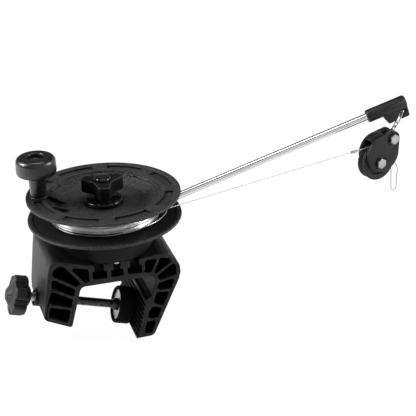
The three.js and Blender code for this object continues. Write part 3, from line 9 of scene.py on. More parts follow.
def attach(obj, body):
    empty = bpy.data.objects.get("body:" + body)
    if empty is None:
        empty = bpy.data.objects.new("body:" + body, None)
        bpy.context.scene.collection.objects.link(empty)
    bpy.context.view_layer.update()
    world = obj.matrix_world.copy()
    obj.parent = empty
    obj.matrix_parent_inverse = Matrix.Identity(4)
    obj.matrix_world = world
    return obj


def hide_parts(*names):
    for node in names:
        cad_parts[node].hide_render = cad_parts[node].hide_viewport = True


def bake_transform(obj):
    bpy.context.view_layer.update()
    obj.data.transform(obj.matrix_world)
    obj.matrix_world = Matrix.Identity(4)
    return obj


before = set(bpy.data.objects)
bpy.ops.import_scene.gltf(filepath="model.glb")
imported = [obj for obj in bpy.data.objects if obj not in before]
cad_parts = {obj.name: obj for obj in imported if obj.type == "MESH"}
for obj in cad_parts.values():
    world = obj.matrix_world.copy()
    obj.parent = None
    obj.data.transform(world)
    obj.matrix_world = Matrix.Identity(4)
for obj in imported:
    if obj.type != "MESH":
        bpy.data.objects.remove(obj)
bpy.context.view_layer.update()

# Setting. The photograph looks down on the reel from in front and a little to its left, from far off,
# with the camera rolled slightly. White all round, so a pale floor lies under the clamp.
MM = 0.001


def placed(name, data):
    """A new object in the scene."""
    thing = bpy.data.objects.new(name, data)
    bpy.context.scene.collection.objects.link(thing)
    return thing


azimuth, elevation, roll = (math.radians(degrees) for degrees in (-14.739, 24.338, 2.262))
right = Vector((math.cos(azimuth), math.sin(azimuth), 0))
level = Vector((-math.sin(azimuth), math.cos(azimuth), 0))
above = level * math.sin(elevation) + Vector((0, 0, math.cos(elevation)))
ahead = level * math.cos(elevation) - Vector((0, 0, math.sin(elevation)))
camera_right = math.cos(roll) * right - math.sin(roll) * above
camera_up = math.sin(roll) * right + math.cos(roll) * above
focal_length, image_width, film_width = 1567.98, 416, 36
camera = placed("camera", bpy.data.cameras.new("camera"))
turned_to_view = Matrix((camera_right, camera_up, -ahead)).transposed().to_4x4()
camera.matrix_world = Matrix.Translation((-0.27312, -1.46020, 0.72793)) @ turned_to_view
camera.data.sensor_width = film_width
camera.data.lens = film_width * focal_length / image_width
camera.data.clip_start, camera.data.clip_end = 0.1, 20
bpy.context.scene.camera = camera
bpy.context.scene.view_settings.view_transform = "Standard"


class Link:
    """An output of a node in a material. Sums and products of it add Math nodes."""

    def __init__(self, tree, socket=None):
        self.tree = tree
        self.socket = socket

    def make(self, kind, settings, values, output=0):
        """An output of a new node, whose inputs are set to values or joined to other links."""
        node = self.tree.nodes.new(kind)
        for name, value in settings.items():
            setattr(node, name, value)
        for name, value in values.items():
            if isinstance(value, Link):
                self.tree.links.new(value.socket, node.inputs[name])
            else:
                node.inputs[name].default_value = value
        return Link(self.tree, node.outputs[output])

    def maths(self, operation, first, second):
        return self.make("ShaderNodeMath", {"operation": operation}, {0: first, 1: second})

    def __add__(self, other):
        return self.maths("ADD", self, other)

    def __radd__(self, other):
        return self.maths("ADD", other, self)

    def __sub__(self, other):
        return self.maths("SUBTRACT", self, other)

    def __rsub__(self, other):
        return self.maths("SUBTRACT", other, self)

    def __mul__(self, other):
        return self.maths("MULTIPLY", self, other)

    def __rmul__(self, other):
        return self.maths("MULTIPLY", other, self)

    def kept(self, low, high):
        """How far the value is on its way from low to high, between 0 and 1."""
        return self.make("ShaderNodeMapRange", {}, {"Value": self, "From Min": low, "From Max": high})

    def part(self, way):
        """The X, Y or Z of a vector, for a way of 0, 1 or 2."""
        return self.make("ShaderNodeSeparateXYZ", {}, {0: self}, way)


def emptied(owner):
    """The nodes of a material or of the world, cleared."""
    owner.use_nodes = True
    owner.node_tree.nodes.clear()
    return Link(owner.node_tree)


def blank(name):
    material = bpy.data.materials.new(name)
    return material, emptied(material)


def surface(owner, shader, kind="ShaderNodeOutputMaterial"):
    end = owner.node_tree.nodes.new(kind)
    owner.node_tree.links.new(shader.socket, end.inputs["Surface"])
    return owner


def coordinates(paint):
    return paint.make("ShaderNodeTexCoord", {}, {}, 3)


aim = Vector((0.05, 0, 0.04))
for name, place, width, height, power in (
    ("left_box", (-1.15, 0.2, 0.8), 0.45, 0.6, 33),
    ("right_box", (1.3, -0.4, 0.6), 0.35, 0.35, 17),
    ("top_box", (0.1, 0.1, 1.4), 0.9, 0.5, 7),
):
    lamp = placed(name, bpy.data.lights.new(name, "AREA"))
    lamp.data.shape = "RECTANGLE"
    lamp.data.size, lamp.data.size_y = width, height
    lamp.data.energy = power
    lamp.location = place
    lamp.rotation_euler = (aim - Vector(place)).to_track_quat("-Z", "Y").to_euler()

# The room is white to the camera and grey to matt surfaces. Glossy ones mirror a bright window in front
# and another at the right.
world = bpy.data.worlds.new("studio")
bpy.context.scene.world = world
sky = emptied(world)
seen, mirrored, seen_through = [sky.make("ShaderNodeLightPath", {}, {}, output) for output in (0, 3, 6)]
direction = sky.make("ShaderNodeTexCoord", {}, {}, 0)
to_right, to_back, to_top = [direction.part(way) for way in range(3)]
front_window = (0 - to_back).kept(0.2, 0.45) * to_right.kept(-0.65, -0.3)
front_window = front_window * to_top.kept(0.08, 0.2) * (1 - to_top.kept(0.62, 0.8))
side_window = to_right.kept(0.5, 0.9) * (1 - to_top.kept(0.3, 0.5))
glow = 0.12 + side_window + 0.85 * front_window
room_light = sky.make("ShaderNodeBackground", {}, {"Color": (1, 1, 1, 1), "Strength": 0.22})
room_gloss = sky.make("ShaderNodeBackground", {}, {"Color": glow, "Strength": 1.0})
room_white = sky.make("ShaderNodeBackground", {}, {"Color": (1, 1, 1, 1), "Strength": 1.0})
room = sky.make("ShaderNodeMixShader", {}, {0: mirrored, 1: room_light, 2: room_gloss})
seen_white = sky.maths("MAXIMUM", seen, seen_through)
room = sky.make("ShaderNodeMixShader", {}, {0: seen_white, 1: room, 2: room_white})
surface(world, room, "ShaderNodeOutputWorld")

# The floor is matt white and takes the shadow. The camera sees it almost pure white, and glossy
# surfaces see it bright only in front of the reel and at its right.
floor_paint, paint = blank("floor_paint")
seen, mirrored = [paint.make("ShaderNodeLightPath", {}, {}, output) for output in (0, 3)]
lit = paint.make("ShaderNodeBsdfDiffuse", {}, {"Color": (0.9, 0.9, 0.9, 1)})
white = paint.make("ShaderNodeEmission", {}, {"Color": (1, 1, 1, 1), "Strength": 1.03})
spot = coordinates(paint)
sheet = spot.part(0).kept(-0.32, -0.17) * (1 - spot.part(1).kept(0.1, 0.3))
share = 0.95 * seen + 0.7 * mirrored * sheet
surface(floor_paint, paint.make("ShaderNodeMixShader", {}, {0: share, 1: lit, 2: white}))
reach, floor_height = 6.0, -74.6 * MM
floor_corners = [(-reach, -reach), (reach, -reach), (reach, reach), (-reach, reach)]
floor_mesh = bpy.data.meshes.new("floor")
floor_mesh.from_pydata([(x, y, floor_height) for x, y in floor_corners], [], [(0, 1, 2, 3)])
floor_mesh.materials.append(floor_paint)
floor = placed("floor", floor_mesh)


# Cable. Stranded stainless wire, 1 mm across: six wires laid round a seventh. It runs taut from the
# winding to the pulley, where a crimped sleeve closes it into a loop that passes over the sheave.
def new_piece(name, node, points, faces, material, body, crease=40):
    """A piece made of corners and faces, which takes the place of a solid."""
    mesh = bpy.data.meshes.new(name)
    mesh.from_pydata([tuple(point) for point in points], [], [tuple(face) for face in faces])
    mesh.validate()
    mesh.materials.append(material)
    form = bmesh.new()
    form.from_mesh(mesh)
    bmesh.ops.remove_doubles(form, verts=form.verts, dist=1e-7)
    bmesh.ops.recalc_face_normals(form, faces=form.faces)
    form.to_mesh(mesh)
    form.free()
    mesh.shade_smooth()
    mesh.set_sharp_from_angle(angle=math.radians(crease))
    piece = placed(name, mesh)
    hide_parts(node)
    if body:
        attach(piece, body)
    return piece


def smooth_line(points, spacing):
    """Points of a smooth curve through the given ones, about as far apart as spacing."""
    points = np.array(points, float)
    ends = np.vstack([2 * points[0] - points[1], points, 2 * points[-1] - points[-2]])
    line = []
    for at in range(1, len(ends) - 2):
        before, start, stop, after = ends[at - 1 : at + 3]
        count = max(2, int(np.linalg.norm(stop - start) / spacing))
        for share in np.arange(count) / count:
            twice = 2 * start + (stop - before) * share
            twice = twice + (2 * before - 5 * start + 4 * stop - after) * share**2
            line.append(0.5 * (twice + (3 * start - before - 3 * stop + after) * share**3))
    line.append(points[-1])
    return np.array(line)


def sections_along(line):
    """Two directions square to a line at each of its points, carried along without twisting."""
    heading = np.gradient(line, axis=0)
    heading /= np.linalg.norm(heading, axis=1)[:, None]
    side = np.cross(heading[0], (0.3, 0.5, 0.81))
    sides = []
    for direction in heading:
        side = side - direction * (side @ direction)
        side /= np.linalg.norm(side)
        sides.append(side)
    sides = np.array(sides)
    return sides, np.cross(heading, sides)


def band(first, second, sides):
    """Faces between two rings of corners, given the number of the first corner of each."""
    faces = []
    for side in range(sides):
        beside = (side + 1) % sides
        faces.append([first + side, first + beside, second + beside, second + side])
    return faces


def tube(line, radius, sides):
    """Corners and faces of a round tube along a line, with closed ends."""
    first, second = sections_along(line)
    angles = 2 * math.pi * np.arange(sides) / sides
    cosines, sines = np.cos(angles)[None, :, None], np.sin(angles)[None, :, None]
    rings = line[:, None] + radius * (first[:, None] * cosines + second[:, None] * sines)
    faces = []
    for at in range(len(line) - 1):
        faces += band(at * sides, (at + 1) * sides, sides)
    faces.append(list(range(sides))[::-1])
    faces.append([(len(line) - 1) * sides + side for side in range(sides)])
    return rings.reshape(-1, 3), faces


def several(forms):
    """Joins lists of corners and faces into one."""
    corners, faces, start = [], [], 0
    for points, sides in forms:
        corners.append(np.asarray(points, float))
        faces += [[corner + start for corner in side] for side in sides]
        start += len(points)
    return np.vstack(corners), faces


def stranded(line, diameter, lay):
    """Six wires laid round a seventh, along a line; lay is the length of one turn."""
    wire = diameter / 3
    first, second = sections_along(line)
    gone = np.concatenate([[0], np.cumsum(np.linalg.norm(np.diff(line, axis=0), axis=1))])
    forms = [tube(line, wire / 2, 6)]
    for strand in range(6):
        turn = 2 * math.pi * (gone / lay + strand / 6)
        centre = line + wire * (first * np.cos(turn)[:, None] + second * np.sin(turn)[:, None])
        forms.append(tube(centre, wire / 2 * 0.98, 6))
    return several(forms)


def in_frame(points, matrix):
    points = np.asarray(points, float)
    turn = np.array(matrix.to_3x3(), float)
    return points @ turn.T + np.array(matrix.translation, float)


def noise(paint, size, detail, roughness=0.55):
    """Noise whose cells are about size metres wide."""
    values = {"Vector": coordinates(paint), "Scale": 1 / size, "Detail": detail, "Roughness": roughness}
    return paint.make("ShaderNodeTexNoise", {}, values, 0)


def two_colours(paint, factor, first, second):
    """A mix of two colours, each a triple or the output of a node."""
    first, second = [colour if isinstance(colour, Link) else (*colour, 1) for colour in (first, second)]
    return paint.make("ShaderNodeMix", {"data_type": "RGBA"}, {0: factor, 6: first, 7: second}, 2)


def relief_of(paint, height, strength, depth, over=None):
    """The normal of a relief, as deep as given in millimetres, over another normal if there is one."""
    values = {"Strength": strength, "Distance": depth * MM, "Height": height}
    if over:
        values["Normal"] = over
    return paint.make("ShaderNodeBump", {}, values)


def bare_metal(material, paint, values):
    return surface(material, paint.make("ShaderNodeBsdfPrincipled", {}, {"Metallic": 1.0, **values}))


def metal(name, dark, light, roughness, spread, grain, scratch=0.02):
    """A metal whose colour and gloss vary in patches, with a fine grain as wide as given in mm."""
    material, paint = blank(name)
    patches = noise(paint, 9 * MM, 4).kept(0.3, 0.7)
    fine = noise(paint, grain * MM, 4)
    colour = two_colours(paint, 0.6 * patches + 0.4 * fine, dark, light)
    gloss = roughness + spread * (0.5 * patches + 0.5 * fine)
    normal = relief_of(paint, fine, scratch, 0.2)
    return bare_metal(material, paint, {"Base Color": colour, "Roughness": gloss, "Normal": normal})


cable_steel = metal("cable_steel", (0.28, 0.28, 0.29), (0.44, 0.44, 0.45), 0.55, 0.12, 0.6)
# The taut run and the loop are the same cable; the run's paler copy of the steel is painted light.
cable_steel_painted_light = metal("cable_steel_painted_light", (0.47, 0.47, 0.48), (0.63, 0.63, 0.64), 0.55, 0.12, 0.6)
pulley_place = Matrix.Translation((311.0596 * MM, 28.57 * MM, 58.6928 * MM))
pulley_frame = pulley_place @ Matrix.Rotation(math.radians(15.9576), 4, "Z")
cable_diameter, cable_lay = 1.0 * MM, 7 * MM
run_radius = 18.3 * MM
run_rise = math.radians(1.1210)
touch = np.array([-run_radius * math.sin(run_rise), 0, run_radius * math.cos(run_rise)])


def on_run(x, aside=0.0):
    """A point of the taut cable in the pulley's frame, x being its distance from the sheave's axle."""
    return np.array([x, aside, touch[2] + (x - touch[0]) * math.tan(run_rise)])


crimp_middle, crimp_length = -29.6 * MM, 7 * MM
crimp_start, crimp_end = crimp_middle - crimp_length / 2, crimp_middle + crimp_length / 2
leave = -306.93 * MM
span_line = np.linspace(on_run(leave), on_run(crimp_start - 0.3 * MM), 300)
span_points, span_faces = stranded(in_frame(span_line, pulley_frame), cable_diameter, cable_lay)
cable_run = new_piece(
    "cable_run", "cable_span", span_points, span_faces, cable_steel_painted_light, None, 80
)
in_frame([on_run(leave)], pulley_frame)[0]
in_frame([on_run(crimp_start)], pulley_frame)[0]
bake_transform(cable_run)

half_strands = 0.65 * MM
meets, parts = math.pi / 2 + run_rise, math.radians(17)
over = [meets + (parts - meets) * step / 8 for step in range(9)]
over = [(run_radius * math.cos(angle), run_radius * math.sin(angle)) for angle in over]
loop_near, loop_far, waist, bottom = 21.6 * MM, 28.9 * MM, -37.2 * MM, -41.5 * MM
loop_route = [on_run(crimp_end + 0.3 * MM, half_strands), on_run(-13 * MM, half_strands)]
loop_route += [(x, half_strands, z) for x, z in over]
loop_route += [(loop_near, half_strands, -14 * MM), (loop_near, half_strands / 2, -27 * MM)]
for step in range(9):
    angle = math.pi + math.pi * step / 8
    across = (loop_near + loop_far) / 2 + (loop_far - loop_near) / 2 * math.cos(angle)
    loop_route.append((across, 0, waist + (waist - bottom) * math.sin(angle)))
loop_route += [(loop_far, -half_strands / 2, -27 * MM), (loop_far, -half_strands, -14 * MM)]
loop_route += [(x, -half_strands, z) for x, z in over[::-1]]
loop_route += [on_run(-13 * MM, -half_strands), on_run(crimp_end + 0.3 * MM, -half_strands)]
loop_line = in_frame(smooth_line(loop_route, 0.9 * MM), pulley_frame)
points, faces = stranded(loop_line, cable_diameter, cable_lay)
new_piece("cable_end_loop", "cable_loop", points, faces, cable_steel, "pulley", 80)


# Crimped sleeve. A short plated copper tube pressed flat in two places over the cable and its returned
# end, and left round between the bites of the tool.
def rounded(corners, steps):
    """A closed outline of (across, up, corner radius) with arcs at its corners."""
    points = []
    for at, (across, up, radius) in enumerate(corners):
        corner = np.array([across, up])
        if radius == 0:
            points.append(corner)
            continue
        before = np.array(corners[at - 1][:2]) - corner
        after = np.array(corners[(at + 1) % len(corners)][:2]) - corner
        room = min(np.linalg.norm(before), np.linalg.norm(after)) * 0.49
        before, after = before / np.linalg.norm(before), after / np.linalg.norm(after)
        half = math.acos(max(-1, min(1, before @ after))) / 2
        reach = min(radius / math.tan(half), room)
        radius = reach * math.tan(half)
        middle = (before + after) / np.linalg.norm(before + after)
        centre = corner + middle * radius / math.sin(half)
        start, stop = corner + before * reach - centre, corner + after * reach - centre
        sweep = math.pi - 2 * half
        for step in range(steps + 1):
            share = step / steps
            arc = start * math.sin((1 - share) * sweep) + stop * math.sin(share * sweep)
            points.append(centre + arc / math.sin(sweep))
    return np.array(points)


def lathe(profile, segments, steps=5, shape=None, scale=MM):
    """A closed profile of (radius, height, corner radius) in millimetres, turned about Z.
    shape(angles, radius, height) may change the radius at each angle."""
    outline = rounded([(*corner, 0)[:3] for corner in profile], steps) * scale
    angles = 2 * math.pi * np.arange(segments) / segments
    points, faces = [], []
    count = len(outline)
    for radius, height in outline:
        radii = np.full(segments, radius)
        if shape is not None:
            radii = shape(angles, radii, height)
        heights = np.full(segments, height)
        points.append(np.stack([radii * np.cos(angles), radii * np.sin(angles), heights], 1))
    for at in range(count):
        following = (at + 1) % count
        start_on_axis, end_on_axis = outline[at][0] < 1e-9, outline[following][0] < 1e-9
        if start_on_axis and end_on_axis:
            continue
        ring = band(at * segments, following * segments, segments)
        if start_on_axis:
            ring = [[at * segments, *face[2:]] for face in ring]
        elif end_on_axis:
            ring = [[*face[:2], following * segments] for face in ring]
        faces += ring
    return np.vstack(points), faces


def turned(name, node, outline, segments, steps, place, material, body, crease=40):
    """A turned piece, with its axis placed by a matrix."""
    points, faces = lathe(outline, segments, steps)
    return new_piece(name, node, in_frame(points, place), faces, material, body, crease)


crimp_metal = metal("crimp_metal", (0.1, 0.1, 0.105), (0.3, 0.3, 0.31), 0.35, 0.2, 0.5)
crimp_frame = pulley_frame @ Matrix.Translation(tuple(on_run(crimp_middle)))
crimp_frame = crimp_frame @ Matrix.Rotation(math.pi / 2 - run_rise, 4, "Y")


def pressed(angles, radii, height):
    """Flattens the sleeve where the tool has bitten."""
    bites = 0.5 - 0.5 * np.cos(4 * math.pi * (height / crimp_length + 0.5))
    return radii * (1 - 0.16 * bites * np.abs(np.cos(angles)) ** 3)


crimp_outline = [(0, -3.5)] + [(1.5, -3.5 + 0.25 * step) for step in range(29)] + [(0, 3.5)]
points, faces = lathe(crimp_outline, 32, shape=pressed)
points = in_frame(points, crimp_frame)
new_piece("crimped_sleeve", "crimp_sleeve", points, faces, crimp_metal, "pulley")


# Clamp bracket. One glass-filled nylon moulding that hooks over the gunwale: a deck with the rail slot
# above the throat, a fixed ribbed jaw on the right and the screw's arm on the left. Open cells with
# slanting webs keep its walls thin; its outside is finely grained and its edges are slightly rounded.
def moulded_plastic(
    name,
    dark,
    light,
    roughness,
    grain,
    depth,
    edge_highlight=0.5,
    patch=14,
    gloss=0.3,
    coarse=0.35,
    cloudy=0.35,
    rim_width=0.7,
    relief=0.25,
    hollow=0,
    alone=True,
    grooves=None,
):
    """Black plastic with a moulded grain, cloudy patches, a painted highlight along its edges and, where
    hollow is set, painted shade near other surfaces.

    Sizes are in millimetres: grain and patch are the widths of the speckles and the clouds, relief is
    how high they stand, rim_width how far the painted edge highlight reaches from an edge, and hollow how
    near another surface has to be for the place to take painted shade, dull and dark. coarse is the
    speckles' share of the colour and cloudy the clouds' share of the relief; grooves masks further places
    of painted shade."""
    material, paint = blank(name)
    cloud = noise(paint, patch * MM, 5, 0.62).kept(0.32, 0.68)
    speckle = noise(paint, grain * MM, 2.5).kept(0.36, 0.64)
    highlight_patchiness = noise(paint, 3 * MM, 5).kept(0.45, 0.75)
    rim = paint.make("ShaderNodeBevel", {"samples": 4}, {"Radius": rim_width * MM})
    face = paint.make("ShaderNodeNewGeometry", {}, {}, 1)
    square = paint.make("ShaderNodeVectorMath", {"operation": "DOT_PRODUCT"}, {0: rim, 1: face}, 1)
    edge = (1 - square).kept(0.02, 0.3) * (0.6 + 0.4 * highlight_patchiness)
    body = two_colours(paint, (1 - coarse) * cloud + coarse * speckle, dark, light)
    # Painted highlight: the edges are mixed towards a pale grey, standing in for light caught on them.
    edge_highlight_colour = (0.2, 0.2, 0.205)
    colour = two_colours(paint, edge * edge_highlight, body, edge_highlight_colour)
    dull = roughness + 0.1 * cloud - 0.12 * edge + 0.06 * speckle
    bump = relief_of(paint, speckle + cloudy * cloud, depth, relief, rim)
    values = {"Base Color": colour, "Roughness": dull, "Specular IOR Level": gloss, "Normal": bump}
    plastic = paint.make("ShaderNodeBsdfPrincipled", {}, values)
    # Painted shade: where other surfaces are near, the plastic turns to a dark, dull shader that stands in
    # for shade.
    if hollow:
        settings, values = {"samples": 8, "only_local": alone}, {"Distance": hollow * MM}
        clear = paint.make("ShaderNodeAmbientOcclusion", settings, values, 1).kept(0.3, 0.8)
        if grooves:
            clear = clear * (1 - grooves(paint)) * (0.6 + 0.4 * cloud)
        values = {"Base Color": (*dark, 1), "Roughness": 0.9, "Specular IOR Level": 0.05}
        painted_shade = paint.make("ShaderNodeBsdfPrincipled", {}, values)
        plastic = paint.make("ShaderNodeMixShader", {}, {0: clear, 1: painted_shade, 2: plastic})
    return surface(material, plastic)


jaw_lean = math.radians(15.5)
jaw_foot = Vector((19.9 * MM, 0, -54.8 * MM))
jaw_normal = Vector((math.cos(jaw_lean), 0, -math.sin(jaw_lean)))


def jaw_groove_shade(paint):
    """Painted shade on the floors of the grooves between the jaw's teeth, away from its moulded front."""
    values = {0: coordinates(paint), 1: jaw_normal}
    along = paint.make("ShaderNodeVectorMath", {"operation": "DOT_PRODUCT"}, values, 1)
    deep = along - jaw_foot @ jaw_normal
    to_front = 0 - paint.make("ShaderNodeNewGeometry", {}, {}, 1).part(1)
    groove = deep.kept(0.1 * MM, 0.9 * MM) * (1 - deep.kept(2.4 * MM, 2.5 * MM))
    return groove * (1 - to_front.kept(0.3, 0.5))


# The bracket's plastic: painted shade in its hollows and in the jaw's grooves.
black_moulding = moulded_plastic(
    "black_moulding",
    (0.0015, 0.0015, 0.0016),
    (0.008, 0.008, 0.0085),
    roughness=0.38,
    grain=0.7,
    depth=0.35,
    patch=8,
    cloudy=4,
    relief=0.35,
    hollow=8,
    grooves=jaw_groove_shade,
)


def shaped(piece):
    """Gives a piece the form that its modifier makes."""
    bpy.context.view_layer.update()
    mesh = bpy.data.meshes.new_from_object(piece.evaluated_get(bpy.context.evaluated_depsgraph_get()))
    piece.modifiers.clear()
    mesh.name = piece.data.name
    piece.data = mesh


def carved(name, node, material, body, rounding, crease=32):
    """The solid's own form with its flat faces joined up and its sharp edges rounded."""
    form = bmesh.new()
    form.from_mesh(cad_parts[node].data)
    bmesh.ops.remove_doubles(form, verts=form.verts, dist=2e-6)
    flat = math.radians(0.6)
    bmesh.ops.dissolve_limit(form, angle_limit=flat, verts=form.verts, edges=form.edges, delimit=set())
    mesh = bpy.data.meshes.new(name)
    form.to_mesh(mesh)
    form.free()
    piece = placed(name, mesh)
    bevel = piece.modifiers.new("rounding", "BEVEL")
    bevel.width = rounding * MM
    bevel.segments = 3
    bevel.limit_method = "ANGLE"
    bevel.angle_limit = math.radians(crease)
    bevel.use_clamp_overlap = False
    bevel.miter_outer = "MITER_ARC"
    shaped(piece)
    piece.data.materials.clear()
    piece.data.materials.append(material)
    piece.data.shade_smooth()
    piece.data.set_sharp_from_angle(angle=math.radians(crease + 8))
    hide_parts(node)
    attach(piece, body)
    return piece


def combined(piece, points, faces, operation):
    """Cuts a closed form out of a piece, or joins it on."""
    tool_mesh = bpy.data.meshes.new("tool")
    tool_mesh.from_pydata([tuple(point) for point in points], [], [tuple(face) for face in faces])
    form = bmesh.new()
    form.from_mesh(tool_mesh)
    bmesh.ops.recalc_face_normals(form, faces=form.faces)
    form.to_mesh(tool_mesh)
    form.free()
    tool = placed("tool", tool_mesh)
    step = piece.modifiers.new("step", "BOOLEAN")
    step.operation = operation
    step.solver = "EXACT"
    step.use_self = True
    step.object = tool
    shaped(piece)
    bpy.data.objects.remove(tool)


along_x = Matrix.Rotation(math.radians(90), 4, "Y")
screw_line = Matrix.Translation(jaw_foot) @ Matrix.Rotation(jaw_lean, 4, "Y") @ along_x
bracket = carved("bracket_moulding", "clamp_bracket", black_moulding, "bracket", 0.45)
boss_end, solid_boss_end, boss_reach = -104.9, -110, 14
waste = [(0, solid_boss_end), (boss_reach, solid_boss_end), (boss_reach, boss_end), (0, boss_end)]
points, faces = lathe(waste, 64)
combined(bracket, in_frame(points, screw_line), faces, "DIFFERENCE")

# Threaded insert. A brass bush pressed into the arm's boss, so that the steel screw runs in metal.
brass = metal("turned_brass", (0.42, 0.27, 0.09), (0.66, 0.46, 0.19), 0.24, 0.14, 0.8)
insert_outline = [(5.05, -101.5, 0.3), (7.5, -101.5, 0.3), (7.5, -93.7, 0.3), (5.05, -93.7, 0.3)]
turned("screw_bush", "screw_insert", insert_outline, 64, 2, screw_line, brass, "bracket")

# Clamp screw. A 3/8 inch plated rod with a rolled thread, turned down at the pad's end. The knob is
# moulded over its head, and it runs through the brass bush in the arm. The part inside the throat is
# painted darker as painted shade; outside the arm the plating is bright.
screw_steel, paint = blank("screw_steel")
patches = noise(paint, 5 * MM, 4).kept(0.3, 0.7)
# Painted shade: the rod is darker inside the throat, where the deck shades it.
outside = (0 - coordinates(paint).part(0)).kept(0.068, 0.074)
throat_shade = two_colours(paint, patches, (0.05, 0.05, 0.052), (0.24, 0.24, 0.245))
plated = two_colours(paint, patches, (0.5, 0.5, 0.51), (0.8, 0.8, 0.81))
values = {"Base Color": two_colours(paint, outside, throat_shade, plated), "Roughness": 0.26 + 0.12 * patches}
values["Normal"] = relief_of(paint, noise(paint, 0.5 * MM, 4), 0.05, 0.2)
bare_metal(screw_steel, paint, values)


def threaded(outer, root, pitch, start, stop, segments=24):
    """A rolled thread as one helical strip round a plain core."""
    turns = (stop - start) / pitch - 1
    steps = int(turns * segments)
    shares = ((0, root), (0.14, root), (0.46, outer), (0.62, outer), (1, root))
    points, faces = [], []
    for step in range(steps + 1):
        angle = 2 * math.pi * step / segments
        rise = start + pitch * step / segments
        for share, radius in shares:
            points.append((radius * math.cos(angle), radius * math.sin(angle), rise + pitch * share))
    width = len(shares)
    for step in range(steps):
        for at in range(width - 1):
            low = step * width + at
            faces.append([low, low + width, low + width + 1, low + 1])
    core, core_faces = lathe([(0, start), (root, start), (root, stop), (0, stop)], segments, scale=1)
    return several([(np.array(points), faces), (core, core_faces)])


thread = threaded(4.75 * MM, 4.05 * MM, 1.5875 * MM, -128.9 * MM, -19 * MM)
screw_end = lathe([(0, -19.6), (4.7, -19.6, 0.4), (4.7, -4.3, 0.8), (0, -4.3)], 40, 3)
points, faces = several([thread, screw_end])
points = in_frame(points, screw_line)
new_piece("threaded_rod", "clamp_screw", points, faces, screw_steel, "screw", 25)

# Pressure pad. A moulded rubber disc on the screw's end, with a bright steel washer behind it and a
# plated retainer that lets the screw turn while the pad stays still.
rubber = moulded_plastic(
    "pad_rubber",
    (0.002, 0.002, 0.002),
    (0.005, 0.005, 0.005),
    roughness=0.72,
    grain=0.5,
    depth=0.25,
    edge_highlight=0.2,
    gloss=0.1,
)
pad_outline = [(0, -3.9), (5.05, -3.9), (5.05, -12.3, 0.4), (16.5, -12.3), (16.9, -15.6, 0.5)]
pad_outline += [(19.4, -15.6, 1), (20, -14, 0.6), (20, -0.3, 1.2), (0, -0.3)]
turned("rubber_pad", "pressure_pad", pad_outline, 96, 4, screw_line, rubber, "pad")
washer_steel, paint = blank("washer_steel")
settled = paint.make("ShaderNodeMapping", {}, {"Vector": coordinates(paint), "Location": -jaw_foot})
values = {"Vector": settled, "Rotation": (0, -jaw_lean, 0)}
settled = paint.make("ShaderNodeVectorRotate", {"rotation_type": "EULER_XYZ"}, values)
values = {"Vector": settled, "Scale": 900.0, "Distortion": 3.0, "Detail": 3.0, "Detail Scale": 2.0}
rings = paint.make("ShaderNodeTexWave", {"wave_type": "RINGS", "rings_direction": "X"}, values, 1)
scored = noise(paint, 6 * MM, 5).kept(0.35, 0.7)
tone = two_colours(paint, 0.5 * rings + 0.5 * scored, (0.06, 0.06, 0.062), (0.6, 0.6, 0.61))
values = {"Base Color": tone, "Roughness": 0.2 + 0.2 * scored}
values["Normal"] = relief_of(paint, rings, 0.15, 0.1)
bare_metal(washer_steel, paint, values)
washer_outline = [(5.05, -14, 0.15), (16, -14, 0.3), (16, -12.6, 0.3), (5.05, -12.6, 0.15)]
turned(
    "steel_washer", "pad_washer", washer_outline, 96, 3, screw_line, washer_steel, "pad"
)
# Near-black steel: the pad retainer's dark steel, and painted shade where it stands for the winding's
# lower layers.
black_steel_and_core_shade = metal("lower_steel", (0.02, 0.02, 0.021), (0.07, 0.07, 0.072), 0.4, 0.2, 0.5)
retainer_outline = [(5.05, -18.8, 0.2), (5.4, -18.8, 0.2), (6.5, -16.6, 0.5)]
retainer_outline += [(6.5, -14.3, 0.3), (5.05, -14.3)]
turned(
    "pad_retainer_ring", "pad_retainer", retainer_outline, 48, 3, screw_line, black_steel_and_core_shade, "pad"
)

# Hand knob. Moulded over the screw's head: six broad lobes with fine serrations in the valleys between
# them for grip, a conical face with radial ridges, and a short collar towards the arm.
knob_plastic = moulded_plastic(
    "knob_plastic", (0.004, 0.004, 0.0042), (0.014, 0.014, 0.0145), 0.42, grain=0.6, depth=0.3, edge_highlight=0.8
)
knob_outline = [(0, -135), (5.1, -135, 0.7), (11.4, -130.9, 1.5), (20.6, -128.6, 0.5)]
knob_outline += [(21.5, -127.6, 0.4), (21.5, -116.2, 0.4), (20.3, -114.7, 0.5), (10.3, -114.7, 0.3)]
knob_outline += [(10.3, -110.9, 0.8), (8.4, -109.9, 0.6), (0, -109.9)]
lobe_count, teeth_per_lobe = 6, 10
knob_radius, valley_depth, tooth_depth, ridge_height = 21.5, 2.6, 1.1, 0.3


def knob_grip(angles, radii, height):
    """Cuts the valleys and their serrations, and raises the ridges of the conical face."""
    share = (angles * lobe_count / (2 * math.pi)) % 1
    valley = np.clip(1 - np.abs(share - 0.5) / 0.265, 0, 1)
    dip = valley_depth * np.clip(valley * 2.4, 0, 1)
    tooth = 0.5 - 0.5 * np.cos(angles * lobe_count * teeth_per_lobe)
    limit = (knob_radius - dip - np.where(valley > 0.12, tooth_depth * tooth, 0)) * MM
    on_face = np.clip((-128 * MM - height) / (2 * MM), 0, 1)
    ridges = ridge_height * MM * np.cos(angles * 2 * lobe_count) * on_face
    shrink = np.where(radii > 6 * MM, 1.0, radii / (6 * MM))
    return np.minimum(radii + ridges * shrink, limit)


points, faces = lathe(knob_outline, 504, 4, shape=knob_grip)
points = in_frame(points, screw_line)
new_piece("hand_knob", "clamp_knob", points, faces, knob_plastic, "screw", 50)

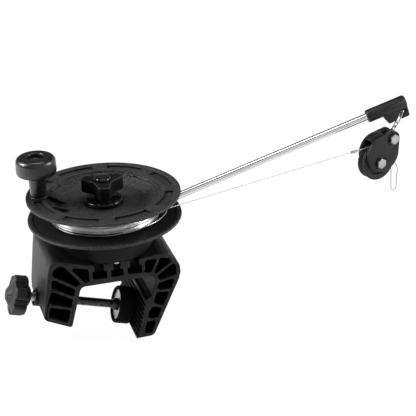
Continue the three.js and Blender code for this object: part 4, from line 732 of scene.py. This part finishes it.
# Base. A black moulding with a round drum for the brake, feet that slide onto the bracket's rails and a
# socket along its back for the boom; a bent spring strip between the rails catches it at the front.
base_plastic = moulded_plastic(
    "base_plastic",
    (0.002, 0.002, 0.0022),
    (0.006, 0.006, 0.0065),
    roughness=0.5,
    grain=0.7,
    depth=0.3,
    edge_highlight=0.4,
    gloss=0.15,
)
carved("base_moulding", "base_housing", base_plastic, "base", 0.35)
bright_steel = metal("bright_steel", (0.5, 0.5, 0.51), (0.86, 0.86, 0.87), 0.14, 0.16, 0.6, 0.04)
carved("catch_spring", "latch_spring", bright_steel, "base", 0.25)

# Spindle and brake. A stainless hexagon-headed bolt stands up through the drum; between the drum and
# the spool lies a pressed brake lining.
carved("spindle_bolt", "spindle", bright_steel, "base", 0.3)
lining = moulded_plastic(
    "brake_lining", (0.05, 0.034, 0.022), (0.12, 0.085, 0.06), 0.75, grain=0.5, depth=0.5, edge_highlight=0.2
)
upright = Matrix.Identity(4)
lining_outline = [(6.1, 48.8), (29, 48.8, 0.3), (29, 52.1, 0.3), (6.1, 52.1)]
turned("brake_lining_ring", "brake_disc", lining_outline, 96, 2, upright, lining, "base")

# Spool. Two black mouldings with a spark-eroded grain: the lower one carries the barrel, the upper one
# the bowl. Each flange has a raised rim, and the upper one eight shallow recesses.
# The spool's plastic takes painted shade wherever another surface is near, other pieces included, such as
# the deck under the upper flange.
spool_plastic = moulded_plastic(
    "spool_plastic",
    (0.003, 0.003, 0.0031),
    (0.032, 0.032, 0.033),
    roughness=0.45,
    grain=2.0,
    depth=1,
    edge_highlight=0.25,
    patch=22,
    coarse=0.75,
    relief=0.45,
    hollow=30,
    alone=False,
)
lower_outline = [(8.3, 52.4), (80, 52.4, 1), (80, 55.6, 1), (74.8, 55.6, 0.4), (74, 54.8, 0.4)]
lower_outline += [(50, 54.8, 0.6), (50, 66.7, 0.3), (46.5, 66.7, 0.3), (46.5, 54.8, 1.5)]
lower_outline += [(14, 54.8, 0.8), (14, 60.4, 0.4), (8.3, 60.4, 0.3)]
turned(
    "spool_barrel", "spool_lower", lower_outline, 192, 3, upright, spool_plastic, "spool"
)
upper_outline = [(8.3, 60.7), (14, 60.7), (14, 66.9), (46.39, 66.9, 1), (58.39, 77.2, 1), (80, 77.2, 1)]
upper_outline += [(80, 80.4, 1), (75.2, 80.4, 0.3), (74.6, 79.6, 0.2), (59.8, 79.6, 0.3)]
upper_outline += [(59.4, 77.4, 0.2), (45.5, 69.3, 0.5), (8.3, 69.3, 0.3)]


def sector(inner, outer, start, stop, bottom, top, corner):
    """A flat ring sector with rounded corners, standing from bottom to top, in millimetres."""
    outline = []
    steps = 16
    middle = (inner + outer) / 2
    squeeze = (outer - inner) / 2 - corner
    for radius, way, end in ((outer, 1, stop), (inner, -1, start)):
        trim = corner / radius
        angles = [start + trim + (stop - start - 2 * trim) * step / steps for step in range(steps + 1)]
        outline += [(radius * math.cos(angle), radius * math.sin(angle)) for angle in angles[::way]]
        for offset in (way * squeeze, -way * squeeze):
            outline.append(((middle + offset) * math.cos(end), (middle + offset) * math.sin(end)))
    points = [(x * MM, y * MM, level * MM) for level in (bottom, top) for x, y in outline]
    count = len(outline)
    faces = [list(range(count))[::-1], list(range(count, 2 * count)), *band(0, count, count)]
    return points, faces


def plate(outline, thickness, matrix):
    """A flat outline in X and Z, as thick along Y as given, placed by a matrix."""
    count = len(outline)
    points = [(x * MM, -thickness / 2 * MM, z * MM) for x, z in outline]
    points += [(x * MM, thickness / 2 * MM, z * MM) for x, z in outline]
    faces = [list(range(count)), list(range(count, 2 * count))[::-1]]
    faces += [[at, at + count, (at + 1) % count + count, (at + 1) % count] for at in range(count)]
    return in_frame(points, matrix), faces


spool_top = turned(
    "spool_bowl", "spool_upper", upper_outline, 192, 4, upright, spool_plastic, "spool"
)
crank_angle, crank_reach = math.radians(168.2), 66.5
recess_count, recess_inner, recess_outer, recess_floor = 8, 63.6, 72.8, 77.7
recess_turn, bridge = math.radians(2.8), math.radians(12.8)
half_recess = math.pi / recess_count - bridge / 2
above_flange = 83
recesses = []
for index in range(recess_count):
    middle = crank_angle + recess_turn + 2 * math.pi * (index + 0.5) / recess_count
    ends = (middle - half_recess, middle + half_recess)
    recesses.append(sector(recess_inner, recess_outer, *ends, recess_floor, above_flange, 0.8))
combined(spool_top, *several(recesses), "DIFFERENCE")
crank_x, crank_y = crank_reach * math.cos(crank_angle), crank_reach * math.sin(crank_angle)
crank_place = Matrix.Translation((crank_x * MM, crank_y * MM, 0))
points, faces = lathe([(0, 79.6), (16, 79.6), (16, above_flange), (0, above_flange)], 96)
combined(spool_top, in_frame(points, crank_place), faces, "DIFFERENCE")
gusset = [(38, 68.1), (38, 69.3), (55, 78.4), (57.5, 78.4), (46.7, 68.1)]
gussets = [plate(gusset, 2.2, Matrix.Rotation(math.radians(turn), 4, "Z")) for turn in (165, 192.5)]
combined(spool_top, *several(gussets), "UNION")
spool_top.data.shade_smooth()
spool_top.data.set_sharp_from_angle(angle=math.radians(35))
acetal = moulded_plastic(
    "acetal_bush", (0.62, 0.6, 0.54), (0.76, 0.74, 0.68), 0.42, grain=0.8, depth=0.1, edge_highlight=0.1
)
bush_outline = [(6.1, 52.4, 0.2), (8, 52.4, 0.2), (8, 69, 0.2), (6.1, 69, 0.2)]
turned("spool_bush", "spool_bushing", bush_outline, 64, 2, upright, acetal, "spool")

# Winding. Some 20 m of the cable laid on the barrel by hand, so that the outer turns slant and cross
# each other between the flanges instead of lying side by side. One loose turn stands off the rest, and
# a core of near-black steel, painted shade, stands for the layers below.
wound_steel, paint = blank("wound_steel")
each = paint.make("ShaderNodeNewGeometry", {}, {}, 8)
fine = noise(paint, 2.5 * MM, 4).kept(0.35, 0.65)
tone = two_colours(paint, 0.85 * each + 0.15 * fine, (0.25, 0.25, 0.255), (1, 1, 1))
bare_metal(wound_steel, paint, {"Base Color": tone, "Roughness": 0.3 + 0.1 * fine})
chance = np.random.default_rng(7)
turns_laid = []
low, high, laid_radius, loose_radius = 57, 73.9, 0.46 * MM, 0.42 * MM
turn_count, corner_count, loose_corners = 56, 110, 80
along = np.linspace(0, 1, corner_count)
for _ in range(turn_count):
    start_angle = chance.uniform(0, 2 * math.pi)
    foot = chance.uniform(low, high)
    slope = chance.uniform(2.2, 6.5) * chance.choice((-1, 1))
    lift = 55.6 + 1.35 * chance.beta(2.2, 1.6)
    wobble = chance.uniform(0, 2 * math.pi)
    angles = start_angle + np.linspace(0, 2 * math.pi * 1.02, corner_count)
    rise = np.clip(foot + slope * along + 0.25 * np.sin(3 * angles + wobble), low, high)
    radius = lift + 0.14 * np.sin(2 * angles + wobble) + 0.05 * np.sin(7 * angles)
    radius = radius - 0.9 * np.clip(0.03 - along, 0, 1) / 0.03 - 0.9 * np.clip(along - 0.97, 0, 1) / 0.03
    line = np.stack([radius * np.cos(angles), radius * np.sin(angles), rise], 1) * MM
    turns_laid.append(tube(line, laid_radius, 6))
core_outline = [(50.3, 55.1), (55.9, 55.1, 0.4), (56.2, 58), (56.3, 66), (55.9, 74), (50.3, 69.8)]
# The core's near-black colour is painted shade over the lower layers of cable.
turned("lower_layers", "cable_core", core_outline, 120, 3, upright, black_steel_and_core_shade, "spool")
along = np.linspace(0, 1, loose_corners)
angles = np.radians(np.linspace(-95, 35, loose_corners))
radius = 56.2 + 9.6 * np.sin(np.pi * along) ** 1.3
line = np.stack([radius * np.cos(angles), radius * np.sin(angles), 59.5 + 4 * along], 1) * MM
turns_laid.append(tube(line, loose_radius, 8))
points, faces = several(turns_laid)
new_piece("cable_on_barrel", "cable_winding", points, faces, wound_steel, "spool", 80)

# Crank. A turned post on the flange's platform, a large smooth handle that spins on it and the socket
# screw that keeps it there, at the bottom of the recess in the handle's top.
grip_plastic = moulded_plastic(
    "grip_plastic",
    (0.002, 0.002, 0.0022),
    (0.005, 0.005, 0.0055),
    roughness=0.24,
    grain=0.8,
    depth=0.1,
    edge_highlight=0.3,
    patch=18,
    gloss=0.5,
)
post_outline = [(2.3, 105), (2.3, 117.5, 0.3), (4, 117.5, 0.4), (4, 81.5, 0.4), (9.8, 81.5, 0.5)]
post_outline += [(9.8, 79.9, 0.3), (0, 79.9), (0, 105)]
turned(
    "crank_pivot", "crank_post", post_outline, 64, 3, crank_place, grip_plastic, "spool"
)
handle_outline = [(4.3, 81.8, 0.3), (8.25, 81.8, 0.7), (9.1, 105.5, 1.6), (20.4, 105.5, 2.6)]
handle_outline += [(21, 110.5, 3), (20.4, 124.6, 7.5), (9, 124.6, 1.5), (9, 118.1, 0.6), (4.3, 118.1, 0.3)]
turned(
    "crank_handle",
    "crank_knob",
    handle_outline,
    segments=128,
    steps=8,
    place=crank_place,
    material=grip_plastic,
    body="crank",
    crease=45,
)
dark_steel = metal("dark_steel", (0.05, 0.05, 0.052), (0.16, 0.16, 0.165), 0.28, 0.18, 0.5)
carved("crank_socket_screw", "crank_screw", dark_steel, "spool", 0.2)

# Clutch. A glossy pressure disc on the bowl's floor, the three-lobed knob that tightens it on the
# spindle's thread, and a domed cap over the spindle's end.
gloss_plastic = moulded_plastic(
    "gloss_plastic",
    (0.003, 0.003, 0.0033),
    (0.007, 0.007, 0.0075),
    roughness=0.06,
    grain=0.9,
    depth=0.008,
    edge_highlight=0.15,
    patch=18,
)
disc_outline = [(6.1, 69.6, 0.3), (20, 69.6, 1.4), (20, 74.6, 1.8), (6.1, 74.6, 0.3)]
turned(
    "pressure_disc",
    "clutch_disc",
    disc_outline,
    segments=128,
    steps=5,
    place=upright,
    material=gloss_plastic,
    body="clutch_plate",
)


def lobed_outline():
    """The knob's plan: three blunt lobes with hollow flanks, in millimetres."""
    corners = []
    for lobe in range(3):
        angle = math.radians(23) + 2 * math.pi * lobe / 3
        for reach, aside, turn, radius in (
            (22.5, -5.5, 0, 2.2),
            (22.5, 5.5, 0, 2.2),
            (10, 0, math.pi / 3, 16),
        ):
            way = angle + turn
            x = reach * math.cos(way) - aside * math.sin(way)
            y = reach * math.sin(way) + aside * math.cos(way)
            corners.append((x, y, radius))
    return rounded(corners, 10)


def stacked(outline, levels):
    """An outline carried up through levels of (height, inset), in millimetres, with closed ends."""
    count = len(outline)
    ahead_of = np.roll(outline, -1, 0) - np.roll(outline, 1, 0)
    ahead_of /= np.linalg.norm(ahead_of, axis=1)[:, None]
    inward = np.stack([-ahead_of[:, 1], ahead_of[:, 0]], 1)
    points, faces = [], []
    for height, inset in levels:
        ring = outline + inward * inset
        points += [(x * MM, y * MM, height * MM) for x, y in ring]
    for at in range(len(levels) - 1):
        faces += band(at * count, (at + 1) * count, count)
    faces.append(list(range(count))[::-1])
    faces.append([(len(levels) - 1) * count + side for side in range(count)])
    return points, faces


knob_levels = [(79.8, 0.9), (80.1, 0.3), (80.7, 0), (93.85, 0), (94, 0.15)]
lobes = stacked(lobed_outline(), knob_levels)
hub = lathe([(0, 74.9), (9.3, 74.9, 0.6), (9.3, 79.9), (0, 79.9)], 96, 3)
points, faces = several([lobes, hub])
star_plastic = moulded_plastic(
    "star_plastic",
    (0.002, 0.002, 0.0022),
    (0.006, 0.006, 0.0065),
    roughness=0.4,
    grain=0.7,
    depth=0.3,
    edge_highlight=1.0,
    gloss=0.15,
    rim_width=1.4,
)
new_piece("star_knob", "clutch_knob", points, faces, star_plastic, "clutch")
cap_outline = [(0, 94.3), (8.7, 94.3, 0.3), (8.7, 96.4, 0.8)]
cap_outline += [(7.9, 97.7, 1.5), (5.4, 98.35, 3), (0, 98.5)]
turned(
    "domed_cap", "clutch_cap", cap_outline, 96, 5, upright, gloss_plastic, "clutch", 60
)

# Boom. A straight 5/16 inch stainless rod, polished lengthwise, held in the base's socket by a set
# screw. The moulded tip is clamped round its outer end by a slit, and carries the pin for the links.
boom_lean = math.radians(-15.88)
boom_steel, paint = blank("polished_rod")
values = {"Vector": coordinates(paint), "Angle": -boom_lean}
along = paint.make("ShaderNodeVectorRotate", {"rotation_type": "Y_AXIS"}, values)
along = paint.make("ShaderNodeVectorMath", {"operation": "MULTIPLY"}, {0: along, 1: (0.01, 1, 1)})
streaks = paint.make("ShaderNodeTexNoise", {}, {"Vector": along, "Scale": 900.0, "Detail": 3.0}, 0)
smear = noise(paint, 30 * MM, 3).kept(0.3, 0.7)
tone = two_colours(paint, 0.1 * streaks + 0.5 * smear, (0.62, 0.62, 0.63), (0.78, 0.78, 0.79))
bare_metal(boom_steel, paint, {"Base Color": tone, "Roughness": 0.12 + 0.02 * streaks + 0.05 * smear})
boom_place = Matrix.Translation((22 * MM, 38 * MM, 27.6 * MM))
boom_line = boom_place @ Matrix.Rotation(boom_lean, 4, "Y") @ along_x
rod_radius, rod_start, rod_end = 3.97, 2, 333
rod_outline = [(0, rod_start), (rod_radius, rod_start, 0.5), (rod_radius, rod_end, 0.5), (0, rod_end)]
turned("boom", "boom_rod", rod_outline, 64, 3, boom_line, boom_steel, "base")
carved("boom_grub_screw", "boom_set_screw", dark_steel, "base", 0.15)
tip_plastic = moulded_plastic(
    "tip_plastic", (0.003, 0.003, 0.0032), (0.008, 0.008, 0.0085), 0.36, grain=0.6, depth=0.25, edge_highlight=0.8
)
carved("tip_moulding", "boom_tip", tip_plastic, "base", 0.5)
carved("link_pin", "tip_pin", bright_steel, "base", 0.2)


# Links and swivel. A welded oval link on the tip's pin, a second one through it, and a plated swivel
# whose eye turns on the sleeve of the pulley's hanger bolt.
def oval_ring(top, bottom_end, width, wire, matrix):
    """A closed oval of round wire in X and Z between two wire centres, in millimetres."""
    bend = (width - wire) / 2
    middle = (top + bottom_end) / 2
    straight = (top - bottom_end) / 2 - bend
    steps, sides = 40, 14
    centre = []
    for step in range(steps):
        angle = 2 * math.pi * step / steps
        shift = straight if math.sin(angle) >= 0 else -straight
        centre.append((bend * math.cos(angle), 0, middle + shift + bend * math.sin(angle)))
        if step in (0, steps // 2) and straight > 0:
            other = (bend * math.cos(angle), 0, middle - shift + bend * math.sin(angle))
            centre.insert(len(centre) - 1, other)
    centre = np.array(centre) * MM
    count = len(centre)
    inside = centre.mean(0)
    points, faces = [], []
    for at in range(count):
        along = centre[(at + 1) % count] - centre[at - 1]
        along /= np.linalg.norm(along)
        out = np.cross(along, (0, 1, 0))
        if out @ (centre[at] - inside) < 0:
            out = -out
        for side in range(sides):
            angle = 2 * math.pi * side / sides
            away = out * math.cos(angle) + np.array([0, 1, 0]) * math.sin(angle)
            points.append(centre[at] + wire / 2 * MM * away)
        faces += band(at * sides, (at + 1) % count * sides, sides)
    return in_frame(points, matrix), faces


link_lean = math.radians(26)
tip_pin_x, tip_pin_z, pin_radius = 34.3, 49.5, 1.2
link_wire, slack, link_reach = 1.4, 0.4, 12.4
link_place = pulley_frame @ Matrix.Translation((tip_pin_x * MM, 0, tip_pin_z * MM))
tip_link_frame = link_place @ Matrix.Rotation(link_lean, 4, "Y")
crossing = (tip_pin_x - link_reach * math.sin(link_lean), tip_pin_z - link_reach * math.cos(link_lean))
hanger_x, hanger_z = 17.4, 24.4
hanger_lean = math.atan2(crossing[0] - hanger_x, crossing[1] - hanger_z)
chain_frame = pulley_frame @ Matrix.Translation((crossing[0] * MM, 0, crossing[1] * MM))
chain_frame = chain_frame @ Matrix.Rotation(hanger_lean, 4, "Y")
tip_link_top = (pin_radius + slack + link_wire / 2) / math.cos(link_lean - boom_lean)
quarter_turn = Matrix.Rotation(math.pi / 2, 4, "Z")
points, faces = oval_ring(tip_link_top, -13.3, 7.4, link_wire, tip_link_frame @ quarter_turn)
new_piece("upper_link", "tip_link", points, faces, bright_steel, "pulley", 80)
points, faces = oval_ring(0.9, -6, 5.6, link_wire, chain_frame)
new_piece("lower_link", "chain_link", points, faces, bright_steel, "pulley", 80)
swivel_steel = metal("swivel_steel", (0.09, 0.09, 0.095), (0.3, 0.3, 0.31), 0.26, 0.18, 0.5)
carved("swivel_fitting", "swivel", swivel_steel, "pulley", 0.3, 40)

# Pulley block. Two moulded cheeks bolted together round a grooved sheave, which turns on a brass sleeve.
# Hexagon-headed stainless bolts sit in round recesses, with their nuts at the rear.
dull_brass = metal("dull_brass", (0.05, 0.036, 0.016), (0.14, 0.1, 0.045), 0.4, 0.14, 0.8)
cheek_plastic = moulded_plastic(
    "cheek_plastic", (0.003, 0.003, 0.0032), (0.008, 0.008, 0.0085), 0.38, grain=0.6, depth=0.2, edge_highlight=0.7
)
for side in ("front", "rear"):
    carved(f"{side}_cheek", f"pulley_cheek_{side}", cheek_plastic, "pulley", 0.55)
half_sheave = [(4.8, -5.5, 0.2), (8, -5.5, 0.4), (8, -3, 0.4), (14.5, -3, 0.4), (14.5, -5.5, 0.4)]
half_sheave += [(20.6, -5.5, 0.5), (20.6, -4.2, 0.5), (17.5, -1.7, 0.6)]
sheave_outline = half_sheave + [(radius, -height, corner) for radius, height, corner in half_sheave[::-1]]
along_y = Matrix.Rotation(math.radians(-90), 4, "X")
axle_line = pulley_frame @ along_y
hanger_place = pulley_frame @ Matrix.Translation((hanger_x * MM, 0, hanger_z * MM)) @ along_y
turned(
    "grooved_sheave", "sheave", sheave_outline, 128, 3, axle_line, cheek_plastic, "sheave"
)
for kind, line, outer in (("sheave", axle_line, 4.5), ("hanger", hanger_place, 4.2)):
    sleeve_outline = [(3.3, -5.7, 0.1), (outer, -5.7, 0.2), (outer, 5.7, 0.2), (3.3, 5.7, 0.1)]
    turned(f"{kind}_bush", f"{kind}_sleeve", sleeve_outline, 48, 2, line, dull_brass, "pulley")


def hexagon_head(flats, low, high, chamfered, bore=0.0):
    """A hexagon bar from low to high in millimetres, with turned chamfers at the ends named."""
    segments = 96
    angles = 2 * math.pi * np.arange(segments) / segments
    edge = flats / 2 / np.cos((angles + math.pi / 6) % (math.pi / 3) - math.pi / 6)
    fall = (edge - flats / 2 * 0.97) * 0.55
    end_radius = flats / 2 * 0.9
    rings = [(bore, low), (end_radius, low), (edge, low + fall * ("low" in chamfered))]
    rings += [(edge, high - fall * ("high" in chamfered)), (end_radius, high), (bore, high)]
    points, faces = [], []
    for radii, heights in rings:
        heights = np.broadcast_to(heights, segments)
        points.append(np.stack([radii * np.cos(angles), radii * np.sin(angles), heights], 1))
    count = len(rings)
    for at in range(count if bore else count - 1):
        faces += band(at * segments, (at + 1) % count * segments, segments)
    return np.vstack(points) * MM, faces


bolt_steel = metal("bolt_steel", (0.24, 0.24, 0.25), (0.5, 0.5, 0.51), 0.3, 0.16, 0.6, 0.04)
across_flats = 10
head = hexagon_head(across_flats, -12.1, -8.1, ("low",))
shank = lathe([(0, -9), (3, -9), (3, 8.4), (0, 8.4)], 48)
thread = threaded(3 * MM, 2.55 * MM, 1 * MM, 8.2 * MM, 14.3 * MM)
bolt, bolt_faces = several([head, shank, thread])
nut, nut_faces = hexagon_head(across_flats, 8.1, 13.1, ("low", "high"), 3.3)
for kind, line in (("sheave", axle_line), ("hanger", hanger_place)):
    for part, points, faces in (("bolt", bolt, bolt_faces), ("nut", nut, nut_faces)):
        name, node = f"{kind}_hex_{part}", f"{kind}_{part}"
        points = in_frame(points, line)
        new_piece(name, node, points, faces, bolt_steel, "pulley", 30)
